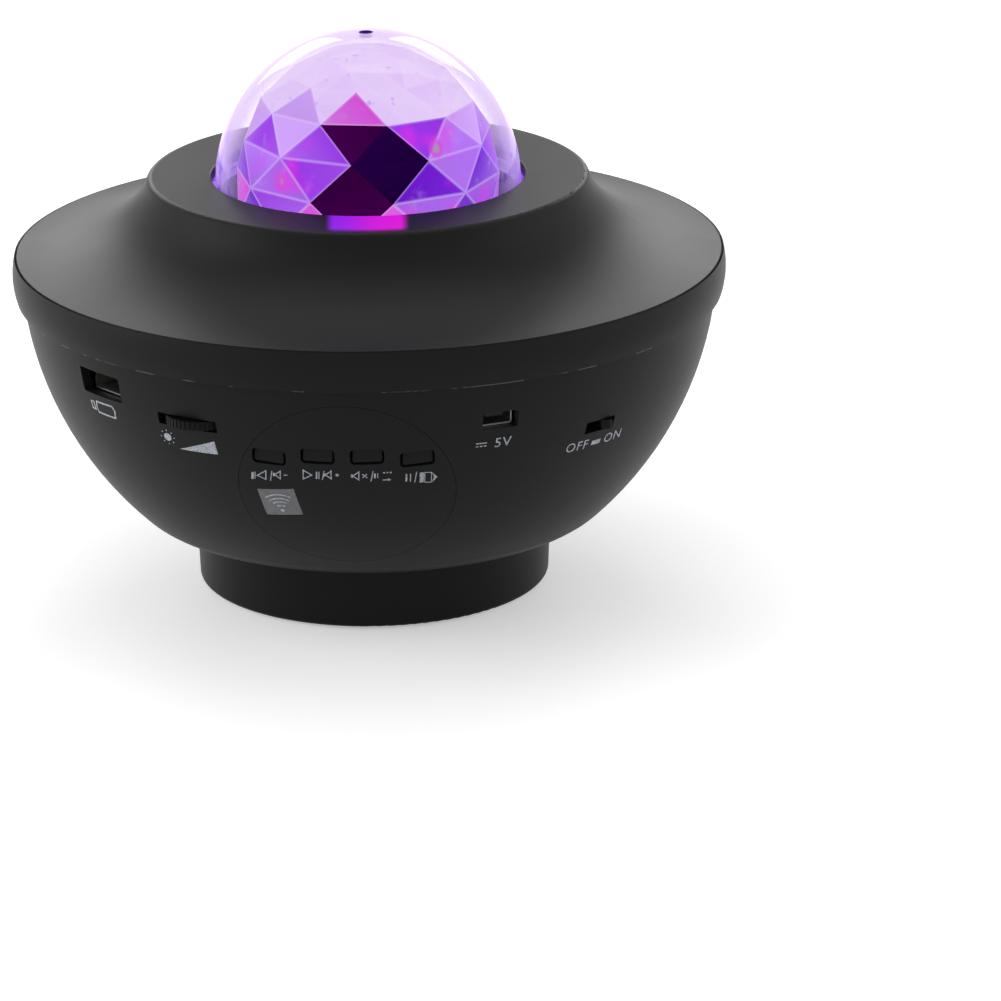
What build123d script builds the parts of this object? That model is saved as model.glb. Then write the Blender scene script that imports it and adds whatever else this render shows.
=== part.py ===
from build123d import *
import math
import os

# Star night light projector: a spherical bowl casing on a short foot, a flared top casing with a
# faceted crystal dome, and the light engine, speaker and controls held between them.
# Millimetres. The origin is the centre of the plane it rests on, +Z is up, the controls face -Y.
# An azimuth is counted from -Y towards +X.

# ---------------------------------------------------------------- clearances
SEAT_GAP = 0.3          # between a piece and the seat that carries it
RUNNING_GAP = 0.05      # radial, a shaft in its bore
THREAD_GAP = 0.05       # radial, a screw in its pilot hole
SHANK_GAP = 0.25        # radial, a screw in a through hole
SLIDE_GAP = 0.4         # a button or knob in its well
THROUGH = 200.0         # longer than any bore that goes right through

# ---------------------------------------------------------------- casing
WALL = 2.4
RIM_RADIUS = 84.0
RIM_HEIGHT = 76.4       # widest point of the rim band
SEAM_HEIGHT = 71.5      # the top casing stands on the bowl here
SEAM_STEP = 1.5         # how far the top casing stands proud of the bowl
SHOULDER_DROP = 1.1     # the shoulder lies this far inside the rim
SHOULDER_RISE = 4.6     # and this far above it
SHOULDER_GROOVE = 0.6
COLLAR_RADIUS = 51.4
COLLAR_HEIGHT = 99.2
COLLAR_ROUNDING = 1.5
OPENING_RADIUS = 36.7
OPENING_ROUNDING = 0.8
FLARE_OVERRUN = 2.8     # the flare's ellipse ends this far past the collar and the rim
BOWL_RADIUS = 82.1      # the bowl is part of a sphere
BOWL_DIP = 2.1          # whose lowest point would lie this far below the floor
BOWL_CENTRE = BOWL_RADIUS - BOWL_DIP
BOWL_KNEE_ROUNDING = 12.0
UNDER_SLOPE = 0.2       # rise of the bowl's underside from the foot outwards
FOOT_TOP_RADIUS = 42.4
FOOT_BOTTOM_RADIUS = 41.7
FOOT_HEIGHT = 15.9
FOOT_BORE = 39.3
FOOT_ROUNDING = 1.2
FOOT_CLEARANCE = 0.6    # the foot's ring hangs this far above the floor, on rubber feet
SPIGOT_DEPTH = 3.8
SPIGOT_WALL = 1.6
BEAD_DEPTH = 0.8        # snap bead on the spigot
BEAD_HEIGHT = 1.2
BEAD_RISE = 0.8

# ---------------------------------------------------------------- base
COVER_RECESS = 2.0
COVER_THICKNESS = 2.4
GRILLE_RADIUS = 17.5
GRILLE_HOLE = 1.1
GRILLE_PITCH = 3.6
RUBBER_RADIUS = 4.0
RUBBER_CIRCLE = 31.5
RUBBER_POCKET = 0.6
BASE_SCREW_CIRCLE = 34.5
BASE_SCREW_HEAD = 2.7
BASE_SCREW_SHANK = 1.4
BASE_SCREW_LENGTH = 9.0
BASE_BOSS_RADIUS = 3.6

# ---------------------------------------------------------------- small screws
SCREW_HEAD = 2.1
SCREW_HEAD_HEIGHT = 1.5
SCREW_SHANK = 1.1
SCREW_BOSS = 2.8
SLOT_WIDTH = 0.6
SLOT_DEPTH = 0.7

# ---------------------------------------------------------------- dome
DOME_RADIUS = 35.87
DOME_CENTRE = 97.1
DOME_FACET_CENTRE = DOME_CENTRE + 1.4
DOME_FACET_RADIUS = 31.2
DOME_SIDES = 10         # facets in a ring
DOME_RING_STEP = 16.9   # degrees of latitude from one ring of facet corners to the next
DOME_FIRST_RING = 2.5
DOME_TURN = 10.4
DOME_FLANGE_RADIUS = 40.0
DOME_FLANGE_HEIGHT = 2.0
LASER_HOLE = 1.5
RETAINER_BORE = 35.0
RETAINER_RADIUS = 47.4
RETAINER_HEIGHT = 2.0
DOME_SCREW_CIRCLE = 43.6

# ---------------------------------------------------------------- lens deck and light engine
DECK_RADIUS = 55.0
DECK_THICKNESS = 2.0
DECK_BOTTOM = 84.0
DECK_SCREW_CIRCLE = 51.0
DECK_SCREW_LENGTH = 7.0
LIGHT_OPENING = 30.0
DECK_ARM_WIDTH = 4.0
BEARING_RADIUS = 8.0
BEARING_RISE = 3.6      # above the deck
BEARING_DROP = 1.6      # below the deck
GEAR_MODULE = 0.8
RING_TEETH = 80
PINION_TEETH = 14
TOOTH_SHARE = 0.40      # tooth thickness as a share of the pitch
GEAR_HEIGHT = 3.0
GEAR_LIFT = 1.5         # gear ring above the deck
LENS_THICKNESS = 1.6
HUB_WALL = 2.4
GRATING_RADIUS = 8.9
GRATING_THICKNESS = 0.6
MOTOR_RADIUS = 9.0
MOTOR_HEIGHT = 18.0
SHAFT_RADIUS = 1.0
MOTOR_SCREW_OFFSET = 6.2
MOTOR_SCREW_LENGTH = 5.0
MOTOR_BOSS = (2.6, 1.2)  # radius and rise of the can's front boss
SHAFT_DEPTH = 6.0       # of the shaft inside the can
LED_BOARD_RADIUS = 27.0
LED_BOARD_THICKNESS = 1.6
LED_POST_LENGTH = 2.4
LED_POST_RADIUS = 2.6
LED_SCREW_CIRCLE = 23.0
LED_SCREW_LENGTH = 7.6
LED_CIRCLE = 15.0
LED_SIZE = 5.0
LED_HEIGHT = 1.2
HEAT_SINK_BASE = 3.0
HEAT_SINK_DEPTH = 14.0
FIN_PITCH = 5.0
FIN_THICKNESS = 1.4
LASER_RADIUS = 6.0
LASER_LENGTH = 25.0
LASER_BORE = 4.6
LASER_LENS_THICKNESS = 1.2

# ---------------------------------------------------------------- speaker
SPEAKER_RADIUS = 25.5
SPEAKER_FLANGE = 1.2
SPEAKER_STAND = 1.0
SPEAKER_SCREW_CIRCLE = 23.4
SPEAKER_MOUTH = 20.2
SPEAKER_RIM = 2.0         # straight part of the basket, where the surround sits
SPEAKER_THROAT = 12.0
SPEAKER_DEPTH = 9.0
SPEAKER_SKIN = 1.0
MAGNET_RADIUS = 14.5
MAGNET_HEIGHT = 8.0
COIL_RADIUS = 7.4
COIL_WALL = 0.5
CONE_RADIUS = 17.0
CONE_TRAVEL = 0.5
CONE_DEPTH = 6.0
CAP_DEPTH = 2.6
CONE_SKIN = 0.5

# ---------------------------------------------------------------- memory stick socket
USB_A_AZIMUTH = -50.1
USB_A_HEIGHT = 64.4
USB_A_SHELL = (13.1, 5.7, 14.0)
USB_A_SKIN = 0.35
USB_A_RECESS = 3.8
USB_A_CUTOUT = (14.0, 6.1)
USB_A_STAND = 1.55      # the socket stands this far above the main board
USB_A_TONGUE = (11.0, 1.9)
USB_A_TONGUE_RISE = 1.1  # the tongue lies this far above the shell's middle
USB_A_CONTACT = (1.0, 0.25, 7.0)
USB_A_CONTACT_PLACES = (-3.5, -1.0, 1.0, 3.5)

# ---------------------------------------------------------------- boards
BOARD_TOP = USB_A_HEIGHT - USB_A_SHELL[1] / 2 - USB_A_STAND
BOARD_THICKNESS = 1.2
BOARD_BORE = 38.0
BOARD_WAIST_DEPTH = 18.2  # from the bowl's skin at the buttons in to the board's waist
BOARD_EDGE_GAP = 2.8    # from the board's lobes to the bowl's inner face
BOARD_POST_CIRCLE = 50.0
BOARD_POST_AZIMUTHS = (-54.0, -18.0, 18.0, 46.0)
BOARD_SCREW_LENGTH = 6.5
BOARD_LEFT = -62.0
BOARD_LEFT_LOBE = -26.5
BOARD_RIGHT_LOBE = 15.5
BOARD_RIGHT = 54.0
PLUG_CIRCLE = 42.5
PLUG_SIZE = (8.0, 4.6, 5.2)
PLUG_AZIMUTHS = {"speaker": -36.0, "button": -5.0, "light": 8.0, "motor": 33.0}
CHIPS = ((5.0, 52.0, (9.0, 9.0, 1.6)), (29.0, 52.0, (6.0, 5.0, 1.6)),
         (-30.0, 54.5, (6.0, 5.0, 1.6)), (-12.5, 55.5, (5.0, 4.0, 1.4)))
CAPACITOR_PLACES = ((-44.0, 53.0), (38.0, 53.0), (45.0, 62.0))
CAPACITOR_RADIUS = 3.1
CAPACITOR_HEIGHT = 7.4
MICROPHONE_AZIMUTH = 30.5
MICROPHONE_INSET = 8.0  # from the board's edge
MICROPHONE_RADIUS = 3.0
MICROPHONE_HEIGHT = 2.7
MICROPHONE_HOLE = 0.8

# ---------------------------------------------------------------- power inlet and controls
MINI_AZIMUTH = 21.1
MINI_SHELL = (7.7, 3.9, 9.0)
MINI_HEIGHT = BOARD_TOP + MINI_SHELL[1] / 2
MINI_TONGUE = (4.3, 0.9)
MINI_SKIN = 0.35
MINI_RECESS = 3.0
MINI_CUTOUT = (8.6, 4.1)
DIMMER_AZIMUTH = -31.7
DIMMER_RISE = 0.2       # the wheel's middle lies this far above the board's top
DIMMER_HEIGHT = BOARD_TOP + DIMMER_RISE
DIMMER_RADIUS = 8.0
DIMMER_THICKNESS = 2.0
DIMMER_PROUD = 2.2
DIMMER_SLOT = (15.6, 2.9)
DIMMER_RIDGE_COUNT = 44
DIMMER_RIDGE_RADIUS = 0.28
DIMMER_POT_RADIUS = 5.5
DIMMER_POT_HEIGHT = 3.6
DIMMER_PIN = 1.5
SWITCH_AZIMUTH = 41.5
SWITCH_DROP = 4.9
SWITCH_HEIGHT = BOARD_TOP - SWITCH_DROP
SWITCH_SLOT = (8.9, 2.9)
KNOB_WIDTH = 3.6
KNOB_PROUD = 1.2
SWITCH_BODY = (13.0, 6.6, 7.0)
PANEL_AZIMUTH = -4.8
PANEL_HEIGHT = 43.9
PANEL_RADIUS = 24.7
PANEL_GAP = 0.1
PANEL_LIP = 3.0
PANEL_LIP_THICKNESS = 1.6
PANEL_RING = 2.0        # width of the rib behind the panel's edge
BUTTON_NAMES = ("previous", "next", "mute", "mode")
BUTTON_AZIMUTH = -5.06
BUTTON_HEIGHT = 54.9
BUTTON_PITCH = 11.15
BUTTON_ROW_RADIUS = 90.0  # the row is an arc that sags towards its ends
BUTTON_SIZE = (6.9, 3.3)
BUTTON_CORNER = 0.6
BUTTON_EDGE = 0.3
BUTTON_INSET = 0.7
BUTTON_LEAN = 20.0      # degrees that a button's face leans in at its top
BUTTON_TRAVEL = 0.5
BUTTON_COLLAR = 0.8     # thickness of the collar behind the well
COLLAR_WIDTH = 1.1
WELL_DEPTH = 6.4
WELL_BACK = (44.0, 9.4)
WELL_DROP = 0.8         # the block of wells is centred this far below the row's middle
TACT_SIZE = (6.0, 3.6, 2.5)
PLUNGER_RADIUS = 1.0
PLUNGER_SHOW = BUTTON_TRAVEL + 0.3
BUTTON_BOARD = (42.0, 22.0)
BUTTON_BOARD_DROP = 7.4
BUTTON_POSTS = ((0.0, -9.0), (17.5, -12.0))
BUTTON_SCREW_LENGTH = 5.0
WINDOW_SIZE = (9.0, 8.6)
WINDOW_AZIMUTH = -17.0
WINDOW_HEIGHT = 41.4
WINDOW_TURN = 6.3       # degrees, so that it stands square to the panel's middle
WINDOW_THICKNESS = 1.2
WINDOW_LEDGE = 1.0
RECEIVER_SIZE = (5.4, 6.0)
RECEIVER_LENS = 2.0

# ---------------------------------------------------------------- leads
LEAD_RADIUS = 0.8


# ================================================================ shape helpers
def rod(radius, bottom, top, at=(0.0, 0.0)):
    low_centre = (Align.CENTER, Align.CENTER, Align.MIN)
    return Pos(at[0], at[1], bottom) * Cylinder(radius, top - bottom, align=low_centre)


def tube(outer, inner, bottom, top, at=(0.0, 0.0)):
    return rod(outer, bottom, top, at) - rod(inner, bottom - 1, top + 1, at)


def block(size_x, size_y, bottom, top, at=(0.0, 0.0)):
    low_centre = (Align.CENTER, Align.CENTER, Align.MIN)
    return Pos(at[0], at[1], bottom) * Box(size_x, size_y, top - bottom, align=low_centre)


def turned(edges):
    """Solid of revolution about Z from an outline of (radius, height) edges."""
    return revolve(Plane.XZ * make_face(edges), axis=Axis.Z)


def turned_polygon(*corners):
    return turned(Polyline(*corners, close=True).edges())


def around(radius, azimuth):
    angle = math.radians(azimuth)
    return (radius * math.sin(angle), -radius * math.cos(angle))


def circle_of(radius, count, first):
    return [around(radius, first + 360.0 * index / count) for index in range(count)]


def together(pieces):
    return Compound(children=[solid for piece in pieces for solid in piece.solids()])


def without(shape, cutters):
    for cutter in cutters:
        shape = shape - cutter
    return shape


def screw(at, seat, length, head=SCREW_HEAD, shank=SCREW_SHANK, up=True):
    """A cross-head screw whose head bears on the height `seat`, pointing up or down."""
    body = rod(head, -SCREW_HEAD_HEIGHT, 0) + rod(shank, 0, length)
    for turn in (0, 90):
        slot = block(head * 1.2, SLOT_WIDTH, -SCREW_HEAD_HEIGHT - 1, -SCREW_HEAD_HEIGHT + SLOT_DEPTH)
        body = body - Rot(0, 0, turn) * slot
    placed = body if up else Rot(180, 0, 0) * body
    return Pos(at[0], at[1], seat) * placed


# ================================================================ casing shape
def bowl_skin(height, inset=0.0):
    """Radius of the bowl's outer face, or of a face inset from it, at a height."""
    return math.sqrt((BOWL_RADIUS - inset) ** 2 - (BOWL_CENTRE - height) ** 2)


def bowl_ball(inset):
    return Pos(0, 0, BOWL_CENTRE) * Sphere(BOWL_RADIUS - inset)


def wall_frame(azimuth, height):
    """Frame on the bowl's outer face: x to the right, y up, z level and outwards."""
    angle = math.radians(azimuth)
    origin = (*around(bowl_skin(height), azimuth), height)
    outward = (math.sin(angle), -math.cos(angle), 0)
    return Plane(origin=origin, x_dir=(math.cos(angle), math.sin(angle), 0), z_dir=outward)


def skin_frame(azimuth, height):
    """Frame on the bowl's outer face: x to the right, z square to the face and outwards."""
    level = wall_frame(azimuth, height)
    tilt = math.asin((BOWL_CENTRE - height) / BOWL_RADIUS)
    outward = level.z_dir * math.cos(tilt) - Vector(0, 0, math.sin(tilt))
    return Plane(origin=level.origin, x_dir=level.x_dir, z_dir=outward)


def on_frame(frame, shape):
    return frame.location * shape


def knee(inset, lift):
    """Where the bowl's sphere meets the sloping line of its underside."""
    level = BOWL_CENTRE - FOOT_HEIGHT - lift + UNDER_SLOPE * FOOT_TOP_RADIUS
    square = 1 + UNDER_SLOPE ** 2
    rest = level ** 2 - (BOWL_RADIUS - inset) ** 2
    radius = (level * UNDER_SLOPE + math.sqrt((level * UNDER_SLOPE) ** 2 - square * rest)) / square
    return (radius, BOWL_CENTRE - level + UNDER_SLOPE * radius)


def bowl_half(inset, lift, foot_radius, foot_bottom, foot_rise):
    """Closed profile of the bowl and foot, out to the skin inset by `inset`."""
    corner = knee(inset, lift)
    middle = (corner[1] + SEAM_HEIGHT) / 2
    lip = (bowl_skin(SEAM_HEIGHT, inset), SEAM_HEIGHT)
    arc = ThreePointArc(corner, (bowl_skin(middle, inset), middle), lip)
    rest = Polyline(lip, (0, SEAM_HEIGHT), (0, foot_bottom), (foot_radius[0], foot_bottom),
                    (foot_radius[1], foot_rise), corner)
    face = make_face([arc] + rest.edges())
    bend = face.vertices().sort_by_distance(corner)[0]
    return fillet(bend, BOWL_KNEE_ROUNDING - inset)


def bowl_shell():
    lift = WALL * math.sqrt(1 + UNDER_SLOPE ** 2)
    floor = FOOT_HEIGHT + lift + UNDER_SLOPE * (FOOT_BORE - FOOT_TOP_RADIUS)
    outside = bowl_half(0, 0, (FOOT_BOTTOM_RADIUS, FOOT_TOP_RADIUS), FOOT_CLEARANCE, FOOT_HEIGHT)
    toe = outside.vertices().sort_by_distance((FOOT_BOTTOM_RADIUS, FOOT_CLEARANCE))[0]
    outside = fillet(toe, FOOT_ROUNDING)
    inside = bowl_half(WALL, lift, (FOOT_BORE, FOOT_BORE), FOOT_CLEARANCE, floor)
    shell = revolve(Plane.XZ * (outside - inside), axis=Axis.Z)
    shell = shell - bead_room()
    for spot in circle_of(BASE_SCREW_CIRCLE, 4, 45):
        bottom = cover_top() + SEAT_GAP
        boss = rod(BASE_BOSS_RADIUS, bottom, FOOT_HEIGHT, spot)
        web = on_azimuth_block(spot, FOOT_BORE + 1 - BASE_SCREW_CIRCLE, 3.0, bottom, FOOT_HEIGHT)
        pilot = rod(BASE_SCREW_SHANK + THREAD_GAP, 0, cover_top() + BASE_SCREW_LENGTH, spot)
        shell = shell + boss + web - pilot
    for azimuth in BOARD_POST_AZIMUTHS:
        spot = around(BOARD_POST_CIRCLE, azimuth)
        post = rod(SCREW_BOSS, FOOT_HEIGHT + WALL, BOARD_TOP - BOARD_THICKNESS, spot) & bowl_ball(WALL / 2)
        pilot = rod(SCREW_SHANK + THREAD_GAP, BOARD_TOP - 8, BOARD_TOP, spot)
        shell = shell + post - pilot
    shell = without(shell, wall_cutters())
    return shell - panel_plug(PANEL_RADIUS, 0, WALL + 2)


def on_azimuth_block(spot, length, width, bottom, top):
    """A rib that runs outwards from a spot, away from the axis."""
    reach = math.hypot(*spot)
    direction = (spot[0] / reach, spot[1] / reach)
    angle = math.degrees(math.atan2(direction[1], direction[0]))
    return Pos(spot[0], spot[1], 0) * Rot(0, 0, angle) * block(length, width, bottom, top, (length / 2, 0))


def spigot_radius():
    return bowl_skin(SEAM_HEIGHT - SPIGOT_DEPTH, WALL) - SEAT_GAP


def bead_radius():
    return spigot_radius() + BEAD_DEPTH


def bead_bottom():
    return SEAM_HEIGHT - SPIGOT_DEPTH + BEAD_RISE


def bead_room():
    """What the bowl's wall leaves free for the snap bead."""
    return rod(bead_radius() + SEAT_GAP, bead_bottom() - SEAT_GAP, bead_bottom() + BEAD_HEIGHT + SEAT_GAP)


def spigot_room():
    """What the pieces behind the bowl's wall leave free for the spigot."""
    inner = spigot_radius() - SPIGOT_WALL - SEAT_GAP
    return tube(BOWL_RADIUS, inner, SEAM_HEIGHT - SPIGOT_DEPTH - SEAT_GAP, COLLAR_HEIGHT)


def wall_cutters():
    """The cut-outs in the bowl for the sockets, the dimmer wheel and the slide switch."""
    cutouts = ((USB_A_AZIMUTH, USB_A_HEIGHT, USB_A_CUTOUT, 0.4),
               (MINI_AZIMUTH, MINI_HEIGHT, MINI_CUTOUT, 0.4),
               (DIMMER_AZIMUTH, DIMMER_HEIGHT, DIMMER_SLOT, 0.3),
               (SWITCH_AZIMUTH, SWITCH_HEIGHT, SWITCH_SLOT, 0.3))
    depth = WALL + 4
    return [on_frame(wall_frame(azimuth, height),
                     Pos(0, 0, -depth) * extrude(RectangleRounded(size[0], size[1], corner), depth * 2))
            for azimuth, height, size, corner in cutouts]


def flare_arc(inset):
    """The concave ellipse from the collar down to the shoulder, or its inner face."""
    centre = (RIM_RADIUS + FLARE_OVERRUN, COLLAR_HEIGHT + FLARE_OVERRUN)
    half_width = centre[0] - COLLAR_RADIUS + inset
    half_height = centre[1] - RIM_HEIGHT - SHOULDER_RISE + inset
    if inset:
        start = math.asin((FLARE_OVERRUN + inset) / half_height)
        end = math.acos((FLARE_OVERRUN + inset) / half_width)
    else:
        start = math.asin(FLARE_OVERRUN / half_height)
        end = math.acos((FLARE_OVERRUN + SHOULDER_DROP) / half_width)
    first = 180 + math.degrees(start)
    return EllipticalCenterArc(centre, half_width, half_height, start_angle=first,
                               arc_size=math.degrees(end - start))


def top_shell():
    flare = flare_arc(0)
    shoulder = flare @ 1
    lining = flare_arc(WALL)
    seam_radius = bowl_skin(SEAM_HEIGHT) + SEAM_STEP
    band_top = (shoulder.X + SHOULDER_GROOVE, shoulder.Y - SHOULDER_GROOVE / 4)
    groove = (shoulder.X + SHOULDER_GROOVE / 3, shoulder.Y - SHOULDER_GROOVE)
    spigot = spigot_radius()
    spigot_foot = SEAM_HEIGHT - SPIGOT_DEPTH
    band = ThreePointArc(band_top, (RIM_RADIUS, RIM_HEIGHT), (seam_radius, SEAM_HEIGHT))
    collar = Polyline((OPENING_RADIUS, COLLAR_HEIGHT - WALL), (OPENING_RADIUS, COLLAR_HEIGHT), flare @ 0)
    notch = Polyline(shoulder, groove, band_top)
    inner = Polyline((seam_radius, SEAM_HEIGHT), (spigot, SEAM_HEIGHT), (spigot, spigot_foot),
                     (spigot - SPIGOT_WALL, spigot_foot), (spigot - SPIGOT_WALL, SEAM_HEIGHT + WALL),
                     ((lining @ 1).X, SEAM_HEIGHT + WALL), lining @ 1)
    close = Line(lining @ 0, (OPENING_RADIUS, COLLAR_HEIGHT - WALL))
    face = make_face(collar.edges() + [flare] + notch.edges() + [band] + inner.edges() + [lining, close])
    edge = face.vertices().sort_by_distance(flare @ 0)[0]
    face = fillet(edge, COLLAR_ROUNDING)
    mouth = face.vertices().sort_by_distance((OPENING_RADIUS, COLLAR_HEIGHT))[0]
    shell = revolve(Plane.XZ * fillet(mouth, OPENING_ROUNDING), axis=Axis.Z)
    shell = shell + tube(bead_radius(), spigot - SPIGOT_WALL, bead_bottom(), bead_bottom() + BEAD_HEIGHT)
    under_plate = COLLAR_HEIGHT - WALL
    for spot in dome_screw_spots():
        boss = rod(SCREW_BOSS, retainer_top() + SEAT_GAP, under_plate + 1, spot)
        pilot = rod(SCREW_SHANK + THREAD_GAP, retainer_top(), under_plate, spot)
        shell = shell + boss - pilot
    for spot in deck_screw_spots():
        boss = rod(SCREW_BOSS, deck_top(), under_plate - 3, spot)
        pilot = rod(SCREW_SHANK + THREAD_GAP, deck_top() - 1, deck_top() + 6, spot)
        shell = shell + boss - pilot
    return without(shell, wall_cutters())


# ================================================================ base
def cover_top():
    return COVER_RECESS + COVER_THICKNESS


def grille_spots():
    rows = int(GRILLE_RADIUS / (GRILLE_PITCH * math.sqrt(0.75))) + 1
    spots = []
    for row in range(-rows, rows + 1):
        for column in range(-rows, rows + 1):
            x = (column + (row % 2) / 2) * GRILLE_PITCH
            y = row * GRILLE_PITCH * math.sqrt(0.75)
            if math.hypot(x, y) <= GRILLE_RADIUS - GRILLE_HOLE:
                spots.append((x, y))
    return spots


def base_cover():
    plate = rod(FOOT_BORE - SEAT_GAP, COVER_RECESS, cover_top())
    holes = Sketch() + [Pos(x, y) * Circle(GRILLE_HOLE) for x, y in grille_spots()]
    plate = plate - Pos(0, 0, COVER_RECESS - 1) * extrude(holes, COVER_THICKNESS + 2)
    for spot in circle_of(BASE_SCREW_CIRCLE, 4, 45):
        counterbore = rod(BASE_SCREW_HEAD + SHANK_GAP, 0, COVER_RECESS + SCREW_HEAD_HEIGHT, spot)
        plate = plate - counterbore - rod(BASE_SCREW_SHANK + SHANK_GAP, 0, cover_top() + 1, spot)
    for spot in circle_of(RUBBER_CIRCLE, 4, 0):
        plate = plate - rod(RUBBER_RADIUS + SHANK_GAP, 0, COVER_RECESS + RUBBER_POCKET, spot)
    for spot in speaker_screw_spots():
        boss = rod(SCREW_BOSS, cover_top() - 1, speaker_seat(), spot)
        plate = plate + boss - rod(SCREW_SHANK + THREAD_GAP, COVER_RECESS + 0.8, speaker_seat() + 1, spot)
    return plate


def rubber_feet():
    foot = rod(RUBBER_RADIUS, 0, COVER_RECESS + RUBBER_POCKET)
    foot = chamfer(foot.edges().sort_by(Axis.Z)[0], 0.5)
    return together([Pos(x, y, 0) * foot for x, y in circle_of(RUBBER_CIRCLE, 4, 0)])


def base_screws():
    seat = COVER_RECESS + SCREW_HEAD_HEIGHT
    length = BASE_SCREW_LENGTH
    return together([screw(spot, seat, length, BASE_SCREW_HEAD, BASE_SCREW_SHANK)
                     for spot in circle_of(BASE_SCREW_CIRCLE, 4, 45)])


# ================================================================ speaker
def speaker_seat():
    return cover_top() + SPEAKER_STAND


def speaker_screw_spots():
    return circle_of(SPEAKER_SCREW_CIRCLE, 4, 45)


def speaker_back():
    return speaker_seat() + SPEAKER_FLANGE + SPEAKER_DEPTH


def speaker_frame():
    flange_top = speaker_seat() + SPEAKER_FLANGE
    back = speaker_back()
    basket = turned_polygon((SPEAKER_MOUTH, speaker_seat()), (SPEAKER_RADIUS, speaker_seat()),
                            (SPEAKER_RADIUS, flange_top), (SPEAKER_MOUTH + SPEAKER_SKIN, flange_top),
                            (SPEAKER_MOUTH + SPEAKER_SKIN, flange_top + SPEAKER_RIM),
                            (SPEAKER_THROAT + SPEAKER_SKIN, back), (COIL_RADIUS + 1.4, back),
                            (COIL_RADIUS + 1.4, back - SPEAKER_SKIN), (SPEAKER_THROAT, back - SPEAKER_SKIN),
                            (SPEAKER_MOUTH, flange_top + SPEAKER_RIM))
    window = block(7, 3 * SPEAKER_MOUTH, flange_top + SPEAKER_RIM + 1, back - 2)
    basket = basket - window - Rot(0, 0, 90) * window
    for spot in speaker_screw_spots():
        basket = basket - rod(SCREW_SHANK + SHANK_GAP, 0, back, spot)
    return basket


def speaker_magnet():
    back = speaker_back()
    magnet = rod(MAGNET_RADIUS, back, back + MAGNET_HEIGHT)
    gap = tube(COIL_RADIUS + COIL_WALL + 0.4, COIL_RADIUS - 0.6, back - 1, back + MAGNET_HEIGHT - 2)
    return magnet - gap


def cone_rim():
    """Height of the cone's outer edge."""
    return speaker_seat() + SPEAKER_FLANGE + 0.8


def dish_arc(radius, bottom, depth):
    """Half of a round dish's section, from the axis out to its edge."""
    ball = (radius ** 2 + depth ** 2) / (2 * depth)
    middle = bottom + ball - math.sqrt(ball ** 2 - (radius / 2) ** 2)
    return ThreePointArc((0, bottom), (radius / 2, middle), (radius, bottom + depth))


def speaker_cone():
    """The cone with its dust cap and voice coil; the mouth faces down."""
    low = cone_rim()
    high = low + CONE_DEPTH
    coil_top = speaker_back() + MAGNET_HEIGHT - 2 - CONE_TRAVEL - 1.0
    coil_outer = COIL_RADIUS + COIL_WALL
    coil = Polyline((COIL_RADIUS, high), (coil_outer, high), (coil_outer, coil_top), (COIL_RADIUS, coil_top),
                    close=True)
    skin = Polyline((CONE_RADIUS, low), (CONE_RADIUS, low + CONE_SKIN), (COIL_RADIUS, high + 2 * CONE_SKIN),
                    (COIL_RADIUS, high), close=True)
    under = dish_arc(coil_outer, high - CAP_DEPTH, CAP_DEPTH)
    over = dish_arc(coil_outer, high - CAP_DEPTH + CONE_SKIN, CAP_DEPTH)
    cap = make_face([under, Line(under @ 1, over @ 1), over, Line(over @ 0, under @ 0)])
    face = make_face(coil) + make_face(skin) + cap
    return revolve(Plane.XZ * face, axis=Axis.Z)


def speaker_surround():
    """A half roll of foam between the cone's edge and the frame, glued to the frame."""
    inner = CONE_RADIUS + 0.1
    outer = SPEAKER_MOUTH - 0.05
    roll = (outer - inner) / 2
    centre = Pos((outer + inner) / 2, cone_rim() + CONE_SKIN)
    ring = Circle(roll) - Circle(roll - CONE_SKIN)
    half = ring & Pos(0, -roll) * Rectangle(2 * roll, 2 * roll)
    return revolve(Plane.XZ * (centre * half), axis=Axis.Z)


def speaker_screws():
    seat = speaker_seat() + SPEAKER_FLANGE
    length = seat - COVER_RECESS - 1.0
    return together([screw(spot, seat, length, up=False) for spot in speaker_screw_spots()])


# ================================================================ dome and its ring
def dome_flange_top():
    return COLLAR_HEIGHT - WALL - SEAT_GAP


def dome_flange_bottom():
    return dome_flange_top() - DOME_FLANGE_HEIGHT


def retainer_top():
    return dome_flange_bottom() - SEAT_GAP


def dome_screw_spots():
    return circle_of(DOME_SCREW_CIRCLE, 3, 30)


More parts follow.
